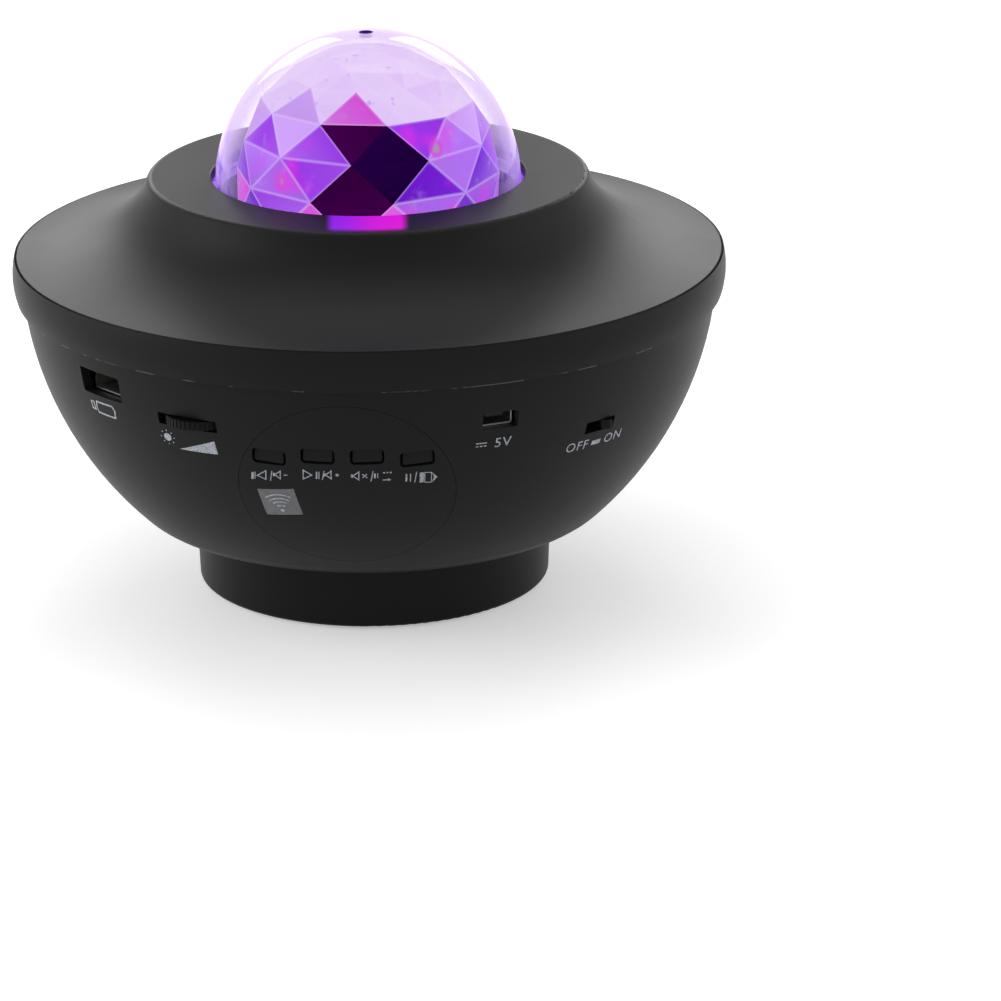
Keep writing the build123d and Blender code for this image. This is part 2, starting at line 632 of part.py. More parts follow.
def dome_facets():
    """The cavity of the dome: rings of flat triangles, staggered by half a side."""
    latitudes = [DOME_FIRST_RING + DOME_RING_STEP * ring for ring in (-2, -1, 0, 1, 2, 3, 4)]
    rings = []
    for number, latitude in enumerate(latitudes):
        radius = DOME_FACET_RADIUS * math.cos(math.radians(latitude))
        if latitude < 0:
            radius = DOME_FACET_RADIUS * math.cos(math.radians(DOME_FIRST_RING))
        height = DOME_FACET_CENTRE + DOME_FACET_RADIUS * math.sin(math.radians(latitude))
        turn = DOME_TURN + 180.0 / DOME_SIDES * (number % 2)
        spots = circle_of(radius, DOME_SIDES, turn)
        rings.append([Vector(x, y, height) for x, y in spots])
    pole = Vector(0, 0, DOME_FACET_CENTRE + DOME_FACET_RADIUS)
    floor = Vector(0, 0, rings[0][0].Z)
    triangles = []
    for number in range(len(rings) - 1):
        lower, upper = rings[number], rings[number + 1]
        for side in range(DOME_SIDES):
            other = (side + 1) % DOME_SIDES
            if number % 2 == 0:
                triangles.append((lower[side], lower[other], upper[side]))
                triangles.append((lower[other], upper[other], upper[side]))
            else:
                triangles.append((lower[side], lower[other], upper[other]))
                triangles.append((lower[side], upper[other], upper[side]))
    for side in range(DOME_SIDES):
        other = (side + 1) % DOME_SIDES
        triangles.append((rings[-1][side], rings[-1][other], pole))
        triangles.append((rings[0][other], rings[0][side], floor))
    faces = [make_face(Polyline(*corners, close=True)) for corners in triangles]
    return Solid(Shell([face.faces()[0] for face in faces]))


def crystal_dome():
    bottom = dome_flange_bottom()
    upper_half = rod(DOME_RADIUS + 1, DOME_CENTRE, DOME_CENTRE + 2 * DOME_RADIUS)
    cap = Pos(0, 0, DOME_CENTRE) * Sphere(DOME_RADIUS) & upper_half
    body = cap + rod(DOME_RADIUS, bottom, DOME_CENTRE) + rod(DOME_FLANGE_RADIUS, bottom, dome_flange_top())
    hole = rod(LASER_HOLE, DOME_CENTRE, DOME_CENTRE + DOME_RADIUS + 5)
    return body - dome_facets() - hole


def dome_retainer():
    ring = tube(RETAINER_RADIUS, RETAINER_BORE, retainer_top() - RETAINER_HEIGHT, retainer_top())
    lip = tube(DOME_FLANGE_RADIUS + SEAT_GAP + 1.2, DOME_FLANGE_RADIUS + SEAT_GAP, retainer_top() - 0.5,
               dome_flange_top())
    bores = [rod(SCREW_SHANK + SHANK_GAP, 0, THROUGH, spot) for spot in dome_screw_spots()]
    boss_room = [rod(SCREW_BOSS + SEAT_GAP, retainer_top(), THROUGH, spot) for spot in dome_screw_spots()]
    return without(ring + lip, bores + boss_room)


def dome_screws():
    seat = retainer_top() - RETAINER_HEIGHT
    length = COLLAR_HEIGHT - WALL - seat - SEAT_GAP
    return together([screw(spot, seat, length) for spot in dome_screw_spots()])


# ================================================================ lens deck and rotor
def deck_top():
    return DECK_BOTTOM + DECK_THICKNESS


def deck_screw_spots():
    return circle_of(DECK_SCREW_CIRCLE, 3, 0)


def arm_turns():
    return [30.0 + 120.0 * index for index in range(3)]


def led_screw_spots():
    return circle_of(LED_SCREW_CIRCLE, 3, arm_turns()[0])


def ring_pitch_radius():
    return GEAR_MODULE * RING_TEETH / 2


def pinion_pitch_radius():
    return GEAR_MODULE * PINION_TEETH / 2


def motor_spot():
    return (ring_pitch_radius() + pinion_pitch_radius(), 0.0)


def led_board_top():
    return DECK_BOTTOM - LED_POST_LENGTH


def heat_sink_top():
    return led_board_top() - LED_BOARD_THICKNESS


def lens_deck():
    deck = tube(DECK_RADIUS, LIGHT_OPENING, DECK_BOTTOM, deck_top())
    inner = BEARING_RADIUS - 2
    outer = LIGHT_OPENING + 2
    for turn in arm_turns():
        middle = (0, -(inner + outer) / 2)
        arm = block(DECK_ARM_WIDTH, outer - inner, DECK_BOTTOM, deck_top(), middle)
        deck = deck + Rot(0, 0, turn) * arm
    deck = deck + rod(BEARING_RADIUS, DECK_BOTTOM - BEARING_DROP, deck_top() + BEARING_RISE)
    for spot in led_screw_spots():
        deck = deck + rod(LED_POST_RADIUS, led_board_top(), deck_top(), spot)
        deck = deck - rod(SCREW_SHANK + THREAD_GAP, led_board_top() - 1, deck_top() - 0.6, spot)
    deck = deck - rod(LASER_RADIUS + RUNNING_GAP, 0, THROUGH)
    deck = deck - rod(MOTOR_BOSS[0] + 2 * SEAT_GAP, 0, THROUGH, motor_spot())
    for side in (-1, 1):
        hole = (motor_spot()[0], side * MOTOR_SCREW_OFFSET)
        deck = deck - rod(SCREW_SHANK + SHANK_GAP, 0, THROUGH, hole)
    return without(deck, [rod(SCREW_SHANK + SHANK_GAP, 0, THROUGH, spot) for spot in deck_screw_spots()])


def deck_screws():
    return together([screw(spot, DECK_BOTTOM, DECK_SCREW_LENGTH) for spot in deck_screw_spots()])


def gear_outline(teeth, addendum, dedendum, turn):
    """A closed outline of straight-flanked teeth, four corners to a tooth."""
    pitch_radius = GEAR_MODULE * teeth / 2
    tip_radius = pitch_radius + addendum
    root_radius = pitch_radius - dedendum
    half_tooth = TOOTH_SHARE * math.pi * GEAR_MODULE / 2
    lean = math.tan(math.radians(20))
    corners = []
    for tooth in range(teeth):
        middle = math.radians(turn) + 2 * math.pi * tooth / teeth
        for radius, side in ((root_radius, -1), (tip_radius, -1), (tip_radius, 1), (root_radius, 1)):
            half = (half_tooth - (radius - pitch_radius) * lean) / radius
            angle = middle + side * half
            corners.append((radius * math.cos(angle), radius * math.sin(angle)))
    return Polyline(*corners, close=True)


def gear_bottom():
    return deck_top() + GEAR_LIFT


def ripple_lens():
    """The turning lens: hub, clear plate with a toothed rim."""
    outline = gear_outline(RING_TEETH, GEAR_MODULE * 0.9, GEAR_MODULE * 1.15, 0)
    rim = Pos(0, 0, gear_bottom()) * extrude(make_face(outline), GEAR_HEIGHT)
    inner = ring_pitch_radius() - GEAR_MODULE - 1.8
    rim = rim - rod(inner, 0, THROUGH)
    plate_bottom = gear_bottom() + 0.7
    plate = rod(inner + 0.5, plate_bottom, plate_bottom + LENS_THICKNESS)
    bearing_top = deck_top() + BEARING_RISE
    hub = rod(BEARING_RADIUS + HUB_WALL, deck_top() + SEAT_GAP, grating_seat() + GRATING_THICKNESS + 0.4)
    lens = rim + plate + hub
    lens = lens - rod(BEARING_RADIUS + RUNNING_GAP, 0, bearing_top + 0.2)
    lens = lens - rod(BEARING_RADIUS - 1.2, 0, THROUGH)
    return lens - rod(GRATING_RADIUS + 0.1, grating_seat(), THROUGH)


def grating_seat():
    return deck_top() + BEARING_RISE + 0.8


def grating_disc():
    return rod(GRATING_RADIUS, grating_seat(), grating_seat() + GRATING_THICKNESS)


def motor_pinion():
    turn = 180.0 + (180.0 / PINION_TEETH if PINION_TEETH % 2 == 0 else 0)
    outline = gear_outline(PINION_TEETH, GEAR_MODULE * 0.9, GEAR_MODULE * 1.15, turn)
    wheel = extrude(make_face(outline), GEAR_HEIGHT)
    wheel = wheel - rod(SHAFT_RADIUS, -1, GEAR_HEIGHT + 1)
    return Pos(motor_spot()[0], motor_spot()[1], gear_bottom()) * wheel


def motor_shaft():
    top = gear_bottom() + GEAR_HEIGHT + 0.5
    return rod(SHAFT_RADIUS - 0.01, DECK_BOTTOM - SHAFT_DEPTH, top, motor_spot())


def lens_motor():
    bottom = DECK_BOTTOM - MOTOR_HEIGHT
    can = rod(MOTOR_RADIUS, bottom, DECK_BOTTOM, motor_spot())
    can = can + rod(MOTOR_BOSS[0], DECK_BOTTOM - 1, DECK_BOTTOM + MOTOR_BOSS[1], motor_spot())
    can = fillet(can.edges().sort_by(Axis.Z)[0], 1.0)
    can = can - rod(SHAFT_RADIUS + RUNNING_GAP, DECK_BOTTOM - SHAFT_DEPTH - 0.5, THROUGH, motor_spot())
    for side in (-1, 1):
        hole = (motor_spot()[0], side * MOTOR_SCREW_OFFSET)
        can = can - rod(SCREW_SHANK + THREAD_GAP, DECK_BOTTOM - 4, DECK_BOTTOM + 1, hole)
    return can


def motor_screws():
    holes = [(motor_spot()[0], side * MOTOR_SCREW_OFFSET) for side in (-1, 1)]
    return together([flat_screw(hole, deck_top(), MOTOR_SCREW_LENGTH) for hole in holes])


def flat_screw(at, seat, length):
    """A thin-headed screw that clears the gear above it, pointing down."""
    head_height = GEAR_LIFT - SEAT_GAP - 0.1
    body = rod(SCREW_HEAD - 0.4, seat, seat + head_height, at) + rod(SCREW_SHANK, seat - length, seat, at)
    return body - block(SCREW_HEAD * 1.2, SLOT_WIDTH, seat + head_height - 0.5, seat + 5, at)


# ================================================================ light engine
def led_board():
    board = tube(LED_BOARD_RADIUS, LASER_RADIUS + SEAT_GAP, heat_sink_top(), led_board_top())
    return without(board, [rod(SCREW_SHANK + SHANK_GAP, 0, THROUGH, spot) for spot in led_screw_spots()])


def led_emitters():
    package = block(LED_SIZE, LED_SIZE, led_board_top(), led_board_top() + LED_HEIGHT)
    package = package - rod(LED_SIZE * 0.38, led_board_top() + LED_HEIGHT - 0.3, THROUGH)
    return together([Pos(x, y, 0) * package for x, y in circle_of(LED_CIRCLE, 4, 0)])


def heat_sink():
    top = heat_sink_top()
    base_bottom = top - HEAT_SINK_BASE
    sink = rod(LED_BOARD_RADIUS, base_bottom, top)
    envelope = rod(LED_BOARD_RADIUS, top - HEAT_SINK_DEPTH, base_bottom)
    count = int(LED_BOARD_RADIUS / FIN_PITCH)
    for number in range(-count, count + 1):
        fin = block(FIN_THICKNESS, 3 * LED_BOARD_RADIUS, top - HEAT_SINK_DEPTH, base_bottom + 0.5,
                    (number * FIN_PITCH, 0))
        sink = sink + (fin & (envelope + rod(LED_BOARD_RADIUS, base_bottom, base_bottom + 0.5)))
    for spot in led_screw_spots():
        sink = sink - rod(SCREW_HEAD + SHANK_GAP + 0.4, 0, base_bottom, spot)
        sink = sink - rod(SCREW_SHANK + SHANK_GAP, 0, THROUGH, spot)
    return sink - rod(LASER_RADIUS + SEAT_GAP, 0, THROUGH)


def led_screws():
    seat = heat_sink_top() - HEAT_SINK_BASE
    return together([screw(spot, seat, LED_SCREW_LENGTH) for spot in led_screw_spots()])


def laser_top():
    return deck_top() + BEARING_RISE - 0.4


def laser_barrel():
    barrel = rod(LASER_RADIUS, laser_top() - LASER_LENGTH, laser_top())
    barrel = chamfer(barrel.edges().sort_by(Axis.Z)[0], 0.6)
    barrel = barrel - rod(LASER_BORE, laser_top() - 8, laser_top() + 1)
    return barrel - rod(1.2, laser_top() - 12, laser_top())


def laser_lens():
    top = laser_top() - 0.6
    return rod(LASER_BORE - 0.02, top - LASER_LENS_THICKNESS, top)


# ================================================================ boards
def sector(inner, outer, first, last):
    """A flat plate between two radii and two azimuths, with straight ends."""
    middle = (first + last) / 2
    outline = [around(inner, first), around(outer, first), around(outer, middle), around(outer, last),
               around(inner, last), around(inner, middle)]
    edges = [Line(outline[0], outline[1]), ThreePointArc(*outline[1:4]), Line(outline[3], outline[4]),
             ThreePointArc(outline[4], outline[5], outline[0])]
    return make_face(edges)


def board_waist():
    return bowl_skin(BUTTON_HEIGHT) - BOARD_WAIST_DEPTH


def board_radius():
    return bowl_skin(BOARD_TOP - BOARD_THICKNESS, WALL) - BOARD_EDGE_GAP


def main_board():
    waist = board_waist()
    outline = sector(BOARD_BORE, waist, BOARD_LEFT, BOARD_RIGHT)
    outline = outline + sector(waist - 1, board_radius(), BOARD_LEFT, BOARD_LEFT_LOBE)
    outline = outline + sector(waist - 1, board_radius(), BOARD_RIGHT_LOBE, BOARD_RIGHT)
    board = Pos(0, 0, BOARD_TOP - BOARD_THICKNESS) * extrude(outline, BOARD_THICKNESS)
    board = board - rod(DIMMER_RADIUS + 0.6, 0, THROUGH, dimmer_spot())
    spots = [around(BOARD_POST_CIRCLE, azimuth) for azimuth in BOARD_POST_AZIMUTHS]
    return without(board, [rod(SCREW_SHANK + SHANK_GAP, 0, THROUGH, spot) for spot in spots])


def board_screws():
    """The main board's screws and the button board's screws, all of one size."""
    pieces = [screw(around(BOARD_POST_CIRCLE, azimuth), BOARD_TOP, BOARD_SCREW_LENGTH, up=False)
              for azimuth in BOARD_POST_AZIMUTHS]
    for spot in BUTTON_POSTS:
        pieces.append(on_frame(button_frame(), screw(spot, button_board_back(), BUTTON_SCREW_LENGTH)))
    return together(pieces)


def standing(azimuth, radius, size, bottom=BOARD_TOP):
    """A box on the main board, square to its azimuth: size is across, along the radius, and high."""
    x, y = around(radius, azimuth)
    return Pos(x, y, bottom) * Rot(0, 0, azimuth) * Box(*size, align=(Align.CENTER, Align.CENTER, Align.MIN))


def board_chips():
    chips = [standing(*chip) for chip in CHIPS]
    return together([chamfer(chip.edges().group_by(Axis.Z)[-1], 0.2) for chip in chips])


def capacitors():
    cans = []
    for azimuth, radius in CAPACITOR_PLACES:
        can = rod(CAPACITOR_RADIUS, BOARD_TOP, BOARD_TOP + CAPACITOR_HEIGHT, around(radius, azimuth))
        cans.append(fillet(can.edges().sort_by(Axis.Z)[-1], 0.5))
    return together(cans)


def microphone():
    spot = around(board_radius() - MICROPHONE_INSET, MICROPHONE_AZIMUTH)
    top = BOARD_TOP + MICROPHONE_HEIGHT
    return rod(MICROPHONE_RADIUS, BOARD_TOP, top, spot) - rod(MICROPHONE_HOLE, top - 0.7, top + 1, spot)


def lead_plugs():
    return together([standing(azimuth, PLUG_CIRCLE, PLUG_SIZE) for azimuth in PLUG_AZIMUTHS.values()])


# ================================================================ sockets
def socket_shell(size, skin, recess, frame, rounding):
    """A folded steel shell, open at the front, its front face `recess` inside the bowl's skin."""
    width, height, length = size
    outer = extrude(RectangleRounded(width, height, rounding), length)
    inner = extrude(RectangleRounded(width - 2 * skin, height - 2 * skin, rounding - skin / 2), length)
    return on_frame(frame, Pos(0, 0, -recess - length) * (outer - Pos(0, 0, skin) * inner))


def usb_a_frame():
    return wall_frame(USB_A_AZIMUTH, USB_A_HEIGHT)


def usb_a_shell():
    return socket_shell(USB_A_SHELL, USB_A_SKIN, USB_A_RECESS, usb_a_frame(), 0.5)


def usb_a_tongue():
    """The moulding: a tongue inside the shell."""
    width, height, length = USB_A_SHELL
    back = -USB_A_RECESS - length + USB_A_SKIN
    inside = (width - 2 * USB_A_SKIN, height - 2 * USB_A_SKIN)
    rear = Pos(0, 0, back + 0.05) * extrude(Rectangle(inside[0] - 0.2, inside[1] - 0.2), 3.0)
    tongue = Pos(0, USB_A_TONGUE_RISE, back + 2) * extrude(Rectangle(*USB_A_TONGUE), length - 4.0)
    return on_frame(usb_a_frame(), rear + tongue)


def usb_a_stand():
    """The plastic stand that lifts the socket off the board."""
    width, height, length = USB_A_SHELL
    bottom = BOARD_TOP - USB_A_HEIGHT
    block_height = -height / 2 - bottom
    middle = -USB_A_RECESS - length / 2 - 3
    stand = Pos(0, bottom + block_height / 2, middle) * Box(width - 1, block_height, 8.0)
    return on_frame(usb_a_frame(), stand)


def usb_a_contacts():
    """Four spring contacts, flat against the tongue's underside."""
    level = USB_A_TONGUE_RISE - USB_A_TONGUE[1] / 2 - USB_A_CONTACT[1] / 2
    middle = -USB_A_RECESS - USB_A_SHELL[2] / 2
    contact = Box(*USB_A_CONTACT)
    return together([on_frame(usb_a_frame(), Pos(x, level, middle) * contact) for x in USB_A_CONTACT_PLACES])


def mini_frame():
    return wall_frame(MINI_AZIMUTH, MINI_HEIGHT)


def mini_usb_shell():
    return socket_shell(MINI_SHELL, MINI_SKIN, MINI_RECESS, mini_frame(), 0.7)


def mini_usb_tongue():
    width, height, length = MINI_SHELL
    back = -MINI_RECESS - length + MINI_SKIN
    inside = (width - 2 * MINI_SKIN, height - 2 * MINI_SKIN)
    rear = Pos(0, 0, back + 0.05) * extrude(Rectangle(inside[0] - 0.6, inside[1] - 0.6), 2.0)
    tongue = Pos(0, 0.2, back + 1) * extrude(Rectangle(*MINI_TONGUE), length - 2.6)
    return on_frame(mini_frame(), rear + tongue)


# ================================================================ dimmer
def dimmer_spot():
    chord = math.sqrt(DIMMER_RADIUS ** 2 - (DIMMER_RADIUS - DIMMER_PROUD) ** 2)
    skin = math.sqrt(bowl_skin(DIMMER_HEIGHT) ** 2 - chord ** 2)
    return around(skin - DIMMER_RADIUS + DIMMER_PROUD, DIMMER_AZIMUTH)


def dimmer_wheel():
    bottom = DIMMER_HEIGHT - DIMMER_THICKNESS / 2
    top = DIMMER_HEIGHT + DIMMER_THICKNESS / 2
    wheel = rod(DIMMER_RADIUS, bottom, top)
    ridge = Circle(DIMMER_RIDGE_RADIUS)
    ridges = Sketch() + [Pos(x, y) * ridge for x, y in circle_of(DIMMER_RADIUS, DIMMER_RIDGE_COUNT, 0)]
    wheel = wheel - Pos(0, 0, bottom - 1) * extrude(ridges, DIMMER_THICKNESS + 2)
    wheel = wheel - rod(DIMMER_PIN + RUNNING_GAP, bottom - 1, top + 1)
    wheel = wheel - tube(DIMMER_RADIUS - 1.8, DIMMER_PIN + 1.6, top - 0.5, top + 1)
    return Pos(dimmer_spot()[0], dimmer_spot()[1], 0) * wheel


def dimmer_body():
    bottom = DIMMER_HEIGHT - DIMMER_THICKNESS / 2 - SEAT_GAP
    spot = dimmer_spot()
    pot = rod(DIMMER_POT_RADIUS, bottom - DIMMER_POT_HEIGHT, bottom, spot) & bowl_ball(WALL + 2 * SEAT_GAP)
    pin = rod(DIMMER_PIN, bottom - 1, DIMMER_HEIGHT + DIMMER_THICKNESS / 2 + 0.4, spot)
    board_bottom = BOARD_TOP - BOARD_THICKNESS
    reach = math.hypot(*spot)
    arm = standing(DIMMER_AZIMUTH, reach - DIMMER_RADIUS, (6.0, 8.0, 2.0), bottom - 2.6)
    foot_size = (6.0, 3.0, board_bottom - bottom + 2.0)
    foot = standing(DIMMER_AZIMUTH, reach - DIMMER_RADIUS - 2.5, foot_size, bottom - 2.0)
    return pot + pin + arm + foot


# ================================================================ slide switch
def switch_frame():
    return wall_frame(SWITCH_AZIMUTH, SWITCH_HEIGHT)


def switch_travel():
    return SWITCH_SLOT[0] - KNOB_WIDTH - 2 * SLIDE_GAP


def switch_body():
    width, depth, _ = SWITCH_BODY
    top = BOARD_TOP - BOARD_THICKNESS - SWITCH_HEIGHT
    bottom = -SWITCH_SLOT[1] / 2 - 1.6
    front = -WALL - 4.2
    body = Pos(0, (top + bottom) / 2, front - depth / 2) * Box(width, top - bottom, depth)
    groove = Pos(0, 0, front) * Box(KNOB_WIDTH + switch_travel() + 1.4, 2.4, 4.0)
    return on_frame(switch_frame(), body - groove)


def switch_knob():
    """The slider at its ON end: shield plate behind the wall, lever, and a ridged thumb piece."""
    right = switch_travel() / 2
    height = SWITCH_SLOT[1] - 2 * SLIDE_GAP
    shield = Pos(right, 0, -WALL - 2.0) * Box(KNOB_WIDTH + 6.0, SWITCH_SLOT[1] + 1.4, 0.8)
    lever = Pos(right, 0, -WALL - 4.0) * Box(KNOB_WIDTH, 1.8, 4.4)
    outline = Polyline((-KNOB_WIDTH / 2, -WALL - 2), (KNOB_WIDTH / 2, -WALL - 2), (KNOB_WIDTH / 2, -0.2),
                       (KNOB_WIDTH / 8, KNOB_PROUD), (-KNOB_WIDTH / 8, KNOB_PROUD), (-KNOB_WIDTH / 2, -0.2),
                       close=True)
    thumb = Pos(right, height / 2, 0) * Rot(90, 0, 0) * extrude(make_face(outline), height)
    return on_frame(switch_frame(), shield + lever + thumb)


# ================================================================ control panel and buttons
def panel_frame():
    return skin_frame(PANEL_AZIMUTH, PANEL_HEIGHT)


def panel_plug(radius, outer_inset, inner_inset):
    """The part of the bowl's skin inside a circle about the panel's axis."""
    return (panel_core(radius) & bowl_ball(outer_inset)) - bowl_ball(inner_inset)


def button_frame():
    return skin_frame(BUTTON_AZIMUTH, BUTTON_HEIGHT)


def button_places():
    """Each button's centre in the button frame, along the sagging row."""
    across = [(index - (len(BUTTON_NAMES) - 1) / 2) * BUTTON_PITCH for index in range(len(BUTTON_NAMES))]
    return [(x, math.sqrt(BUTTON_ROW_RADIUS ** 2 - x ** 2) - BUTTON_ROW_RADIUS) for x in across]


def face_frame(place):
    """Frame of a button's face, square to the bowl's skin at the button and then leaned in."""
    sag = BOWL_RADIUS - math.sqrt(BOWL_RADIUS ** 2 - place[0] ** 2 - place[1] ** 2)
    spot = button_frame().from_local_coords((place[0], place[1], -sag))
    square = skin_frame(math.degrees(math.atan2(spot.X, -spot.Y)), spot.Z)
    return Plane(square.location * Rot(-BUTTON_LEAN, 0, 0))


def button_board_front():
    return -WELL_DEPTH - SEAT_GAP - BUTTON_COLLAR - PLUNGER_SHOW - TACT_SIZE[2]


def button_board_back():
    return button_board_front() - BOARD_THICKNESS


def window_frame():
    """Frame of the infrared window, on the skin below the first button."""
    return Plane(skin_frame(WINDOW_AZIMUTH, WINDOW_HEIGHT).location * Rot(0, 0, WINDOW_TURN))


def panel_core(radius):
    return on_frame(panel_frame(), Cylinder(radius, 2 * PANEL_RADIUS))


def panel_ring(outer_radius, outer_inset, inner_inset):
    """A ring of the bowl's skin about the panel's axis, open in the middle for the controls."""
    middle = panel_core(PANEL_RADIUS - PANEL_GAP - PANEL_RING)
    return panel_plug(outer_radius, outer_inset, inner_inset) - middle


def control_panel():
    """The round insert: skin, a lip behind the bowl's wall, button wells and board posts."""
    inner = PANEL_RADIUS - PANEL_GAP
    behind_wall = WALL + SEAT_GAP
    lip_back = behind_wall + PANEL_LIP_THICKNESS
    frame = button_frame()
    wells = on_frame(frame, Pos(0, -WELL_DROP, -WELL_DEPTH / 2) * Box(WELL_BACK[0], WELL_BACK[1], WELL_DEPTH))
    ring = panel_ring(inner, WALL - 0.5, lip_back)
    ring = ring + panel_ring(PANEL_RADIUS + PANEL_LIP, behind_wall, lip_back)
    wells = (wells & bowl_ball(WALL - 0.5) & panel_core(inner)) + (wells & bowl_ball(behind_wall))
    top_casing_room = rod(RIM_RADIUS, SEAM_HEIGHT, COLLAR_HEIGHT)
    panel = panel_plug(inner, 0, WALL) - bead_room() - top_casing_room
    panel = panel + (ring - spigot_room()) + (wells - spigot_room())
    for spot in BUTTON_POSTS:
        post = on_frame(frame, rod(SCREW_BOSS, button_board_front(), 0, spot)) & bowl_ball(WALL - 0.5)
        pilot = rod(SCREW_SHANK + THREAD_GAP, button_board_front() - 1, button_board_front() + 4.2, spot)
        panel = panel + post - on_frame(frame, pilot)
    width, height = BUTTON_SIZE
    around_collar = COLLAR_WIDTH + SLIDE_GAP
    for x, y in button_places():
        outline = RectangleRounded(width + 2 * SLIDE_GAP, height + 2 * SLIDE_GAP, BUTTON_CORNER + SLIDE_GAP)
        well = Pos(x, y, -30) * extrude(outline, 40)
        room = Pos(x, y, -WELL_DEPTH - 10) * Box(width + 2 * around_collar, height + 2 * around_collar, 20)
        panel = panel - on_frame(frame, well) - on_frame(frame, room)
    opening = Box(WINDOW_SIZE[0] - 2 * WINDOW_LEDGE, WINDOW_SIZE[1] - 2 * WINDOW_LEDGE, 30)
    pocket = Pos(0, 0, 10 - WINDOW_THICKNESS - 0.1) * Box(WINDOW_SIZE[0], WINDOW_SIZE[1], 20)
    return panel - on_frame(window_frame(), opening) - on_frame(window_frame(), pocket)


def button_cap(place):
    """A push button whose rounded face leans in at its top, with a collar behind the well."""
    width, height = BUTTON_SIZE
    back = -WELL_DEPTH - SEAT_GAP
    room = 2 * BUTTON_PITCH
    stem = Pos(place[0], place[1], back) * extrude(RectangleRounded(width, height, BUTTON_CORNER), room)
    face = face_frame(place)
    below_face = on_frame(face, Pos(0, 0, -BUTTON_INSET - room) * Box(2 * room, 2 * room, 2 * room))
    stem = on_frame(button_frame(), stem) & below_face
    stem = fillet(stem.faces().sort_by_distance(face.origin)[0].edges(), BUTTON_EDGE)
    collar = Box(width + 2 * COLLAR_WIDTH, height + 2 * COLLAR_WIDTH, BUTTON_COLLAR)
    return stem + on_frame(button_frame(), Pos(place[0], place[1], back - BUTTON_COLLAR / 2) * collar)


def plunger(place):
    top = -WELL_DEPTH - SEAT_GAP - BUTTON_COLLAR
    return on_frame(button_frame(), rod(PLUNGER_RADIUS, top - PLUNGER_SHOW - 0.8, top, place))


def button_switches():
    width, height, depth = TACT_SIZE
    front = button_board_front()
    bodies = []
    for place in button_places():
        body = block(width, height, front, front + depth, place)
        body = body - rod(PLUNGER_RADIUS + RUNNING_GAP, front + 0.5, front + depth + 1, place)
        bodies.append(on_frame(button_frame(), body))
    return together(bodies)


def button_board():
    width, height = BUTTON_BOARD
    middle = -height / 2 + BUTTON_BOARD_DROP - 3.0
    board = block(width, height, button_board_back(), button_board_front(), (0, middle))
    for spot in BUTTON_POSTS:
        board = board - rod(SCREW_SHANK + SHANK_GAP, -60, 60, spot)
    return on_frame(button_frame(), board)


def ir_window():
    plate = Pos(0, 0, 10 - WINDOW_THICKNESS) * Box(WINDOW_SIZE[0] - 0.2, WINDOW_SIZE[1] - 0.2, 20)
    return on_frame(window_frame(), plate) & bowl_ball(0.05)


def ir_receiver():
    window = button_frame().to_local_coords(window_frame().origin)
    spot = (window.X, window.Y)
    front = button_board_front()
    body = block(RECEIVER_SIZE[0], RECEIVER_SIZE[1], front, front + 3.0, spot)
    lens = Pos(spot[0], spot[1], front + 3.0) * Sphere(RECEIVER_LENS)
    body = body + (lens & block(10, 10, front + 2.5, front + 8, spot))
    return on_frame(button_frame(), body)


# ================================================================ leads
def lead(points):
    """A round lead through hand-chosen points, each corner an arc as large as its runs allow."""
    path = [Vector(*point) for point in points]
    radii = []
    for before, here, after in zip(path, path[1:], path[2:]):
        first, second = here - before, after - here
        turn = math.radians(first.get_angle(second))
        radii.append(0.45 * min(first.length, second.length) / math.tan(turn / 2))
    route = FilletPolyline(*path, radius=radii)
    print("lead radii", [round(radius, 1) for radius in radii])
    start = Plane(origin=path[0], z_dir=path[1] - path[0])
    return sweep(start * Circle(LEAD_RADIUS), path=route)


def beside_plug(name, distance):
    """A point level with a plug's middle, `distance` from its inner face towards the axis."""
    x, y = around(PLUG_CIRCLE - PLUG_SIZE[1] / 2 - distance, PLUG_AZIMUTHS[name])
    return (x, y, BOARD_TOP + PLUG_SIZE[2] / 2)


def speaker_lead():
    start = speaker_back() + MAGNET_HEIGHT
    return lead([(-9.0, -4.0, start), (-9.0, -4.0, start + 11), (-11.0, -10.0, start + 23),
                 (-13.5, -17.0, start + 34), beside_plug("speaker", 9), beside_plug("speaker", 0)])


def motor_lead():
    x, y = motor_spot()
    start = DECK_BOTTOM - MOTOR_HEIGHT
    return lead([(x - 3, y, start), (x - 3, y, start - 6), (x - 5.6, y - 6, start - 10.5),
                 (x - 11.6, y - 15, start - 10), beside_plug("motor", 8), beside_plug("motor", 0)])


def laser_lead():
    start = laser_top() - LASER_LENGTH
    return lead([(0, 0, start), (0, 0, start - 6), (2, -8, start - 11), (3, -19, start - 9),
                 beside_plug("light", 9), beside_plug("light", 0)])


def led_lead():
    """From the LED board's edge down onto the plug's top."""
    azimuth = PLUG_AZIMUTHS["light"]
    level = (led_board_top() + heat_sink_top()) / 2
    plug_top = BOARD_TOP + PLUG_SIZE[2]
    return lead([(*around(LED_BOARD_RADIUS, azimuth), level), (*around(35.5, azimuth), level - 0.4),
                 (*around(PLUG_CIRCLE, azimuth), plug_top + 9.3), (*around(PLUG_CIRCLE, azimuth), plug_top)])


def button_lead():
    back = button_board_back()
    start = button_frame().from_local_coords((-2.0, 3.0, back))
    inside = button_frame().from_local_coords((-2.0, 3.0, back - 7))
    return lead([tuple(start), tuple(inside), beside_plug("button", -PLUG_SIZE[1] - 8),
                 beside_plug("button", -PLUG_SIZE[1])])


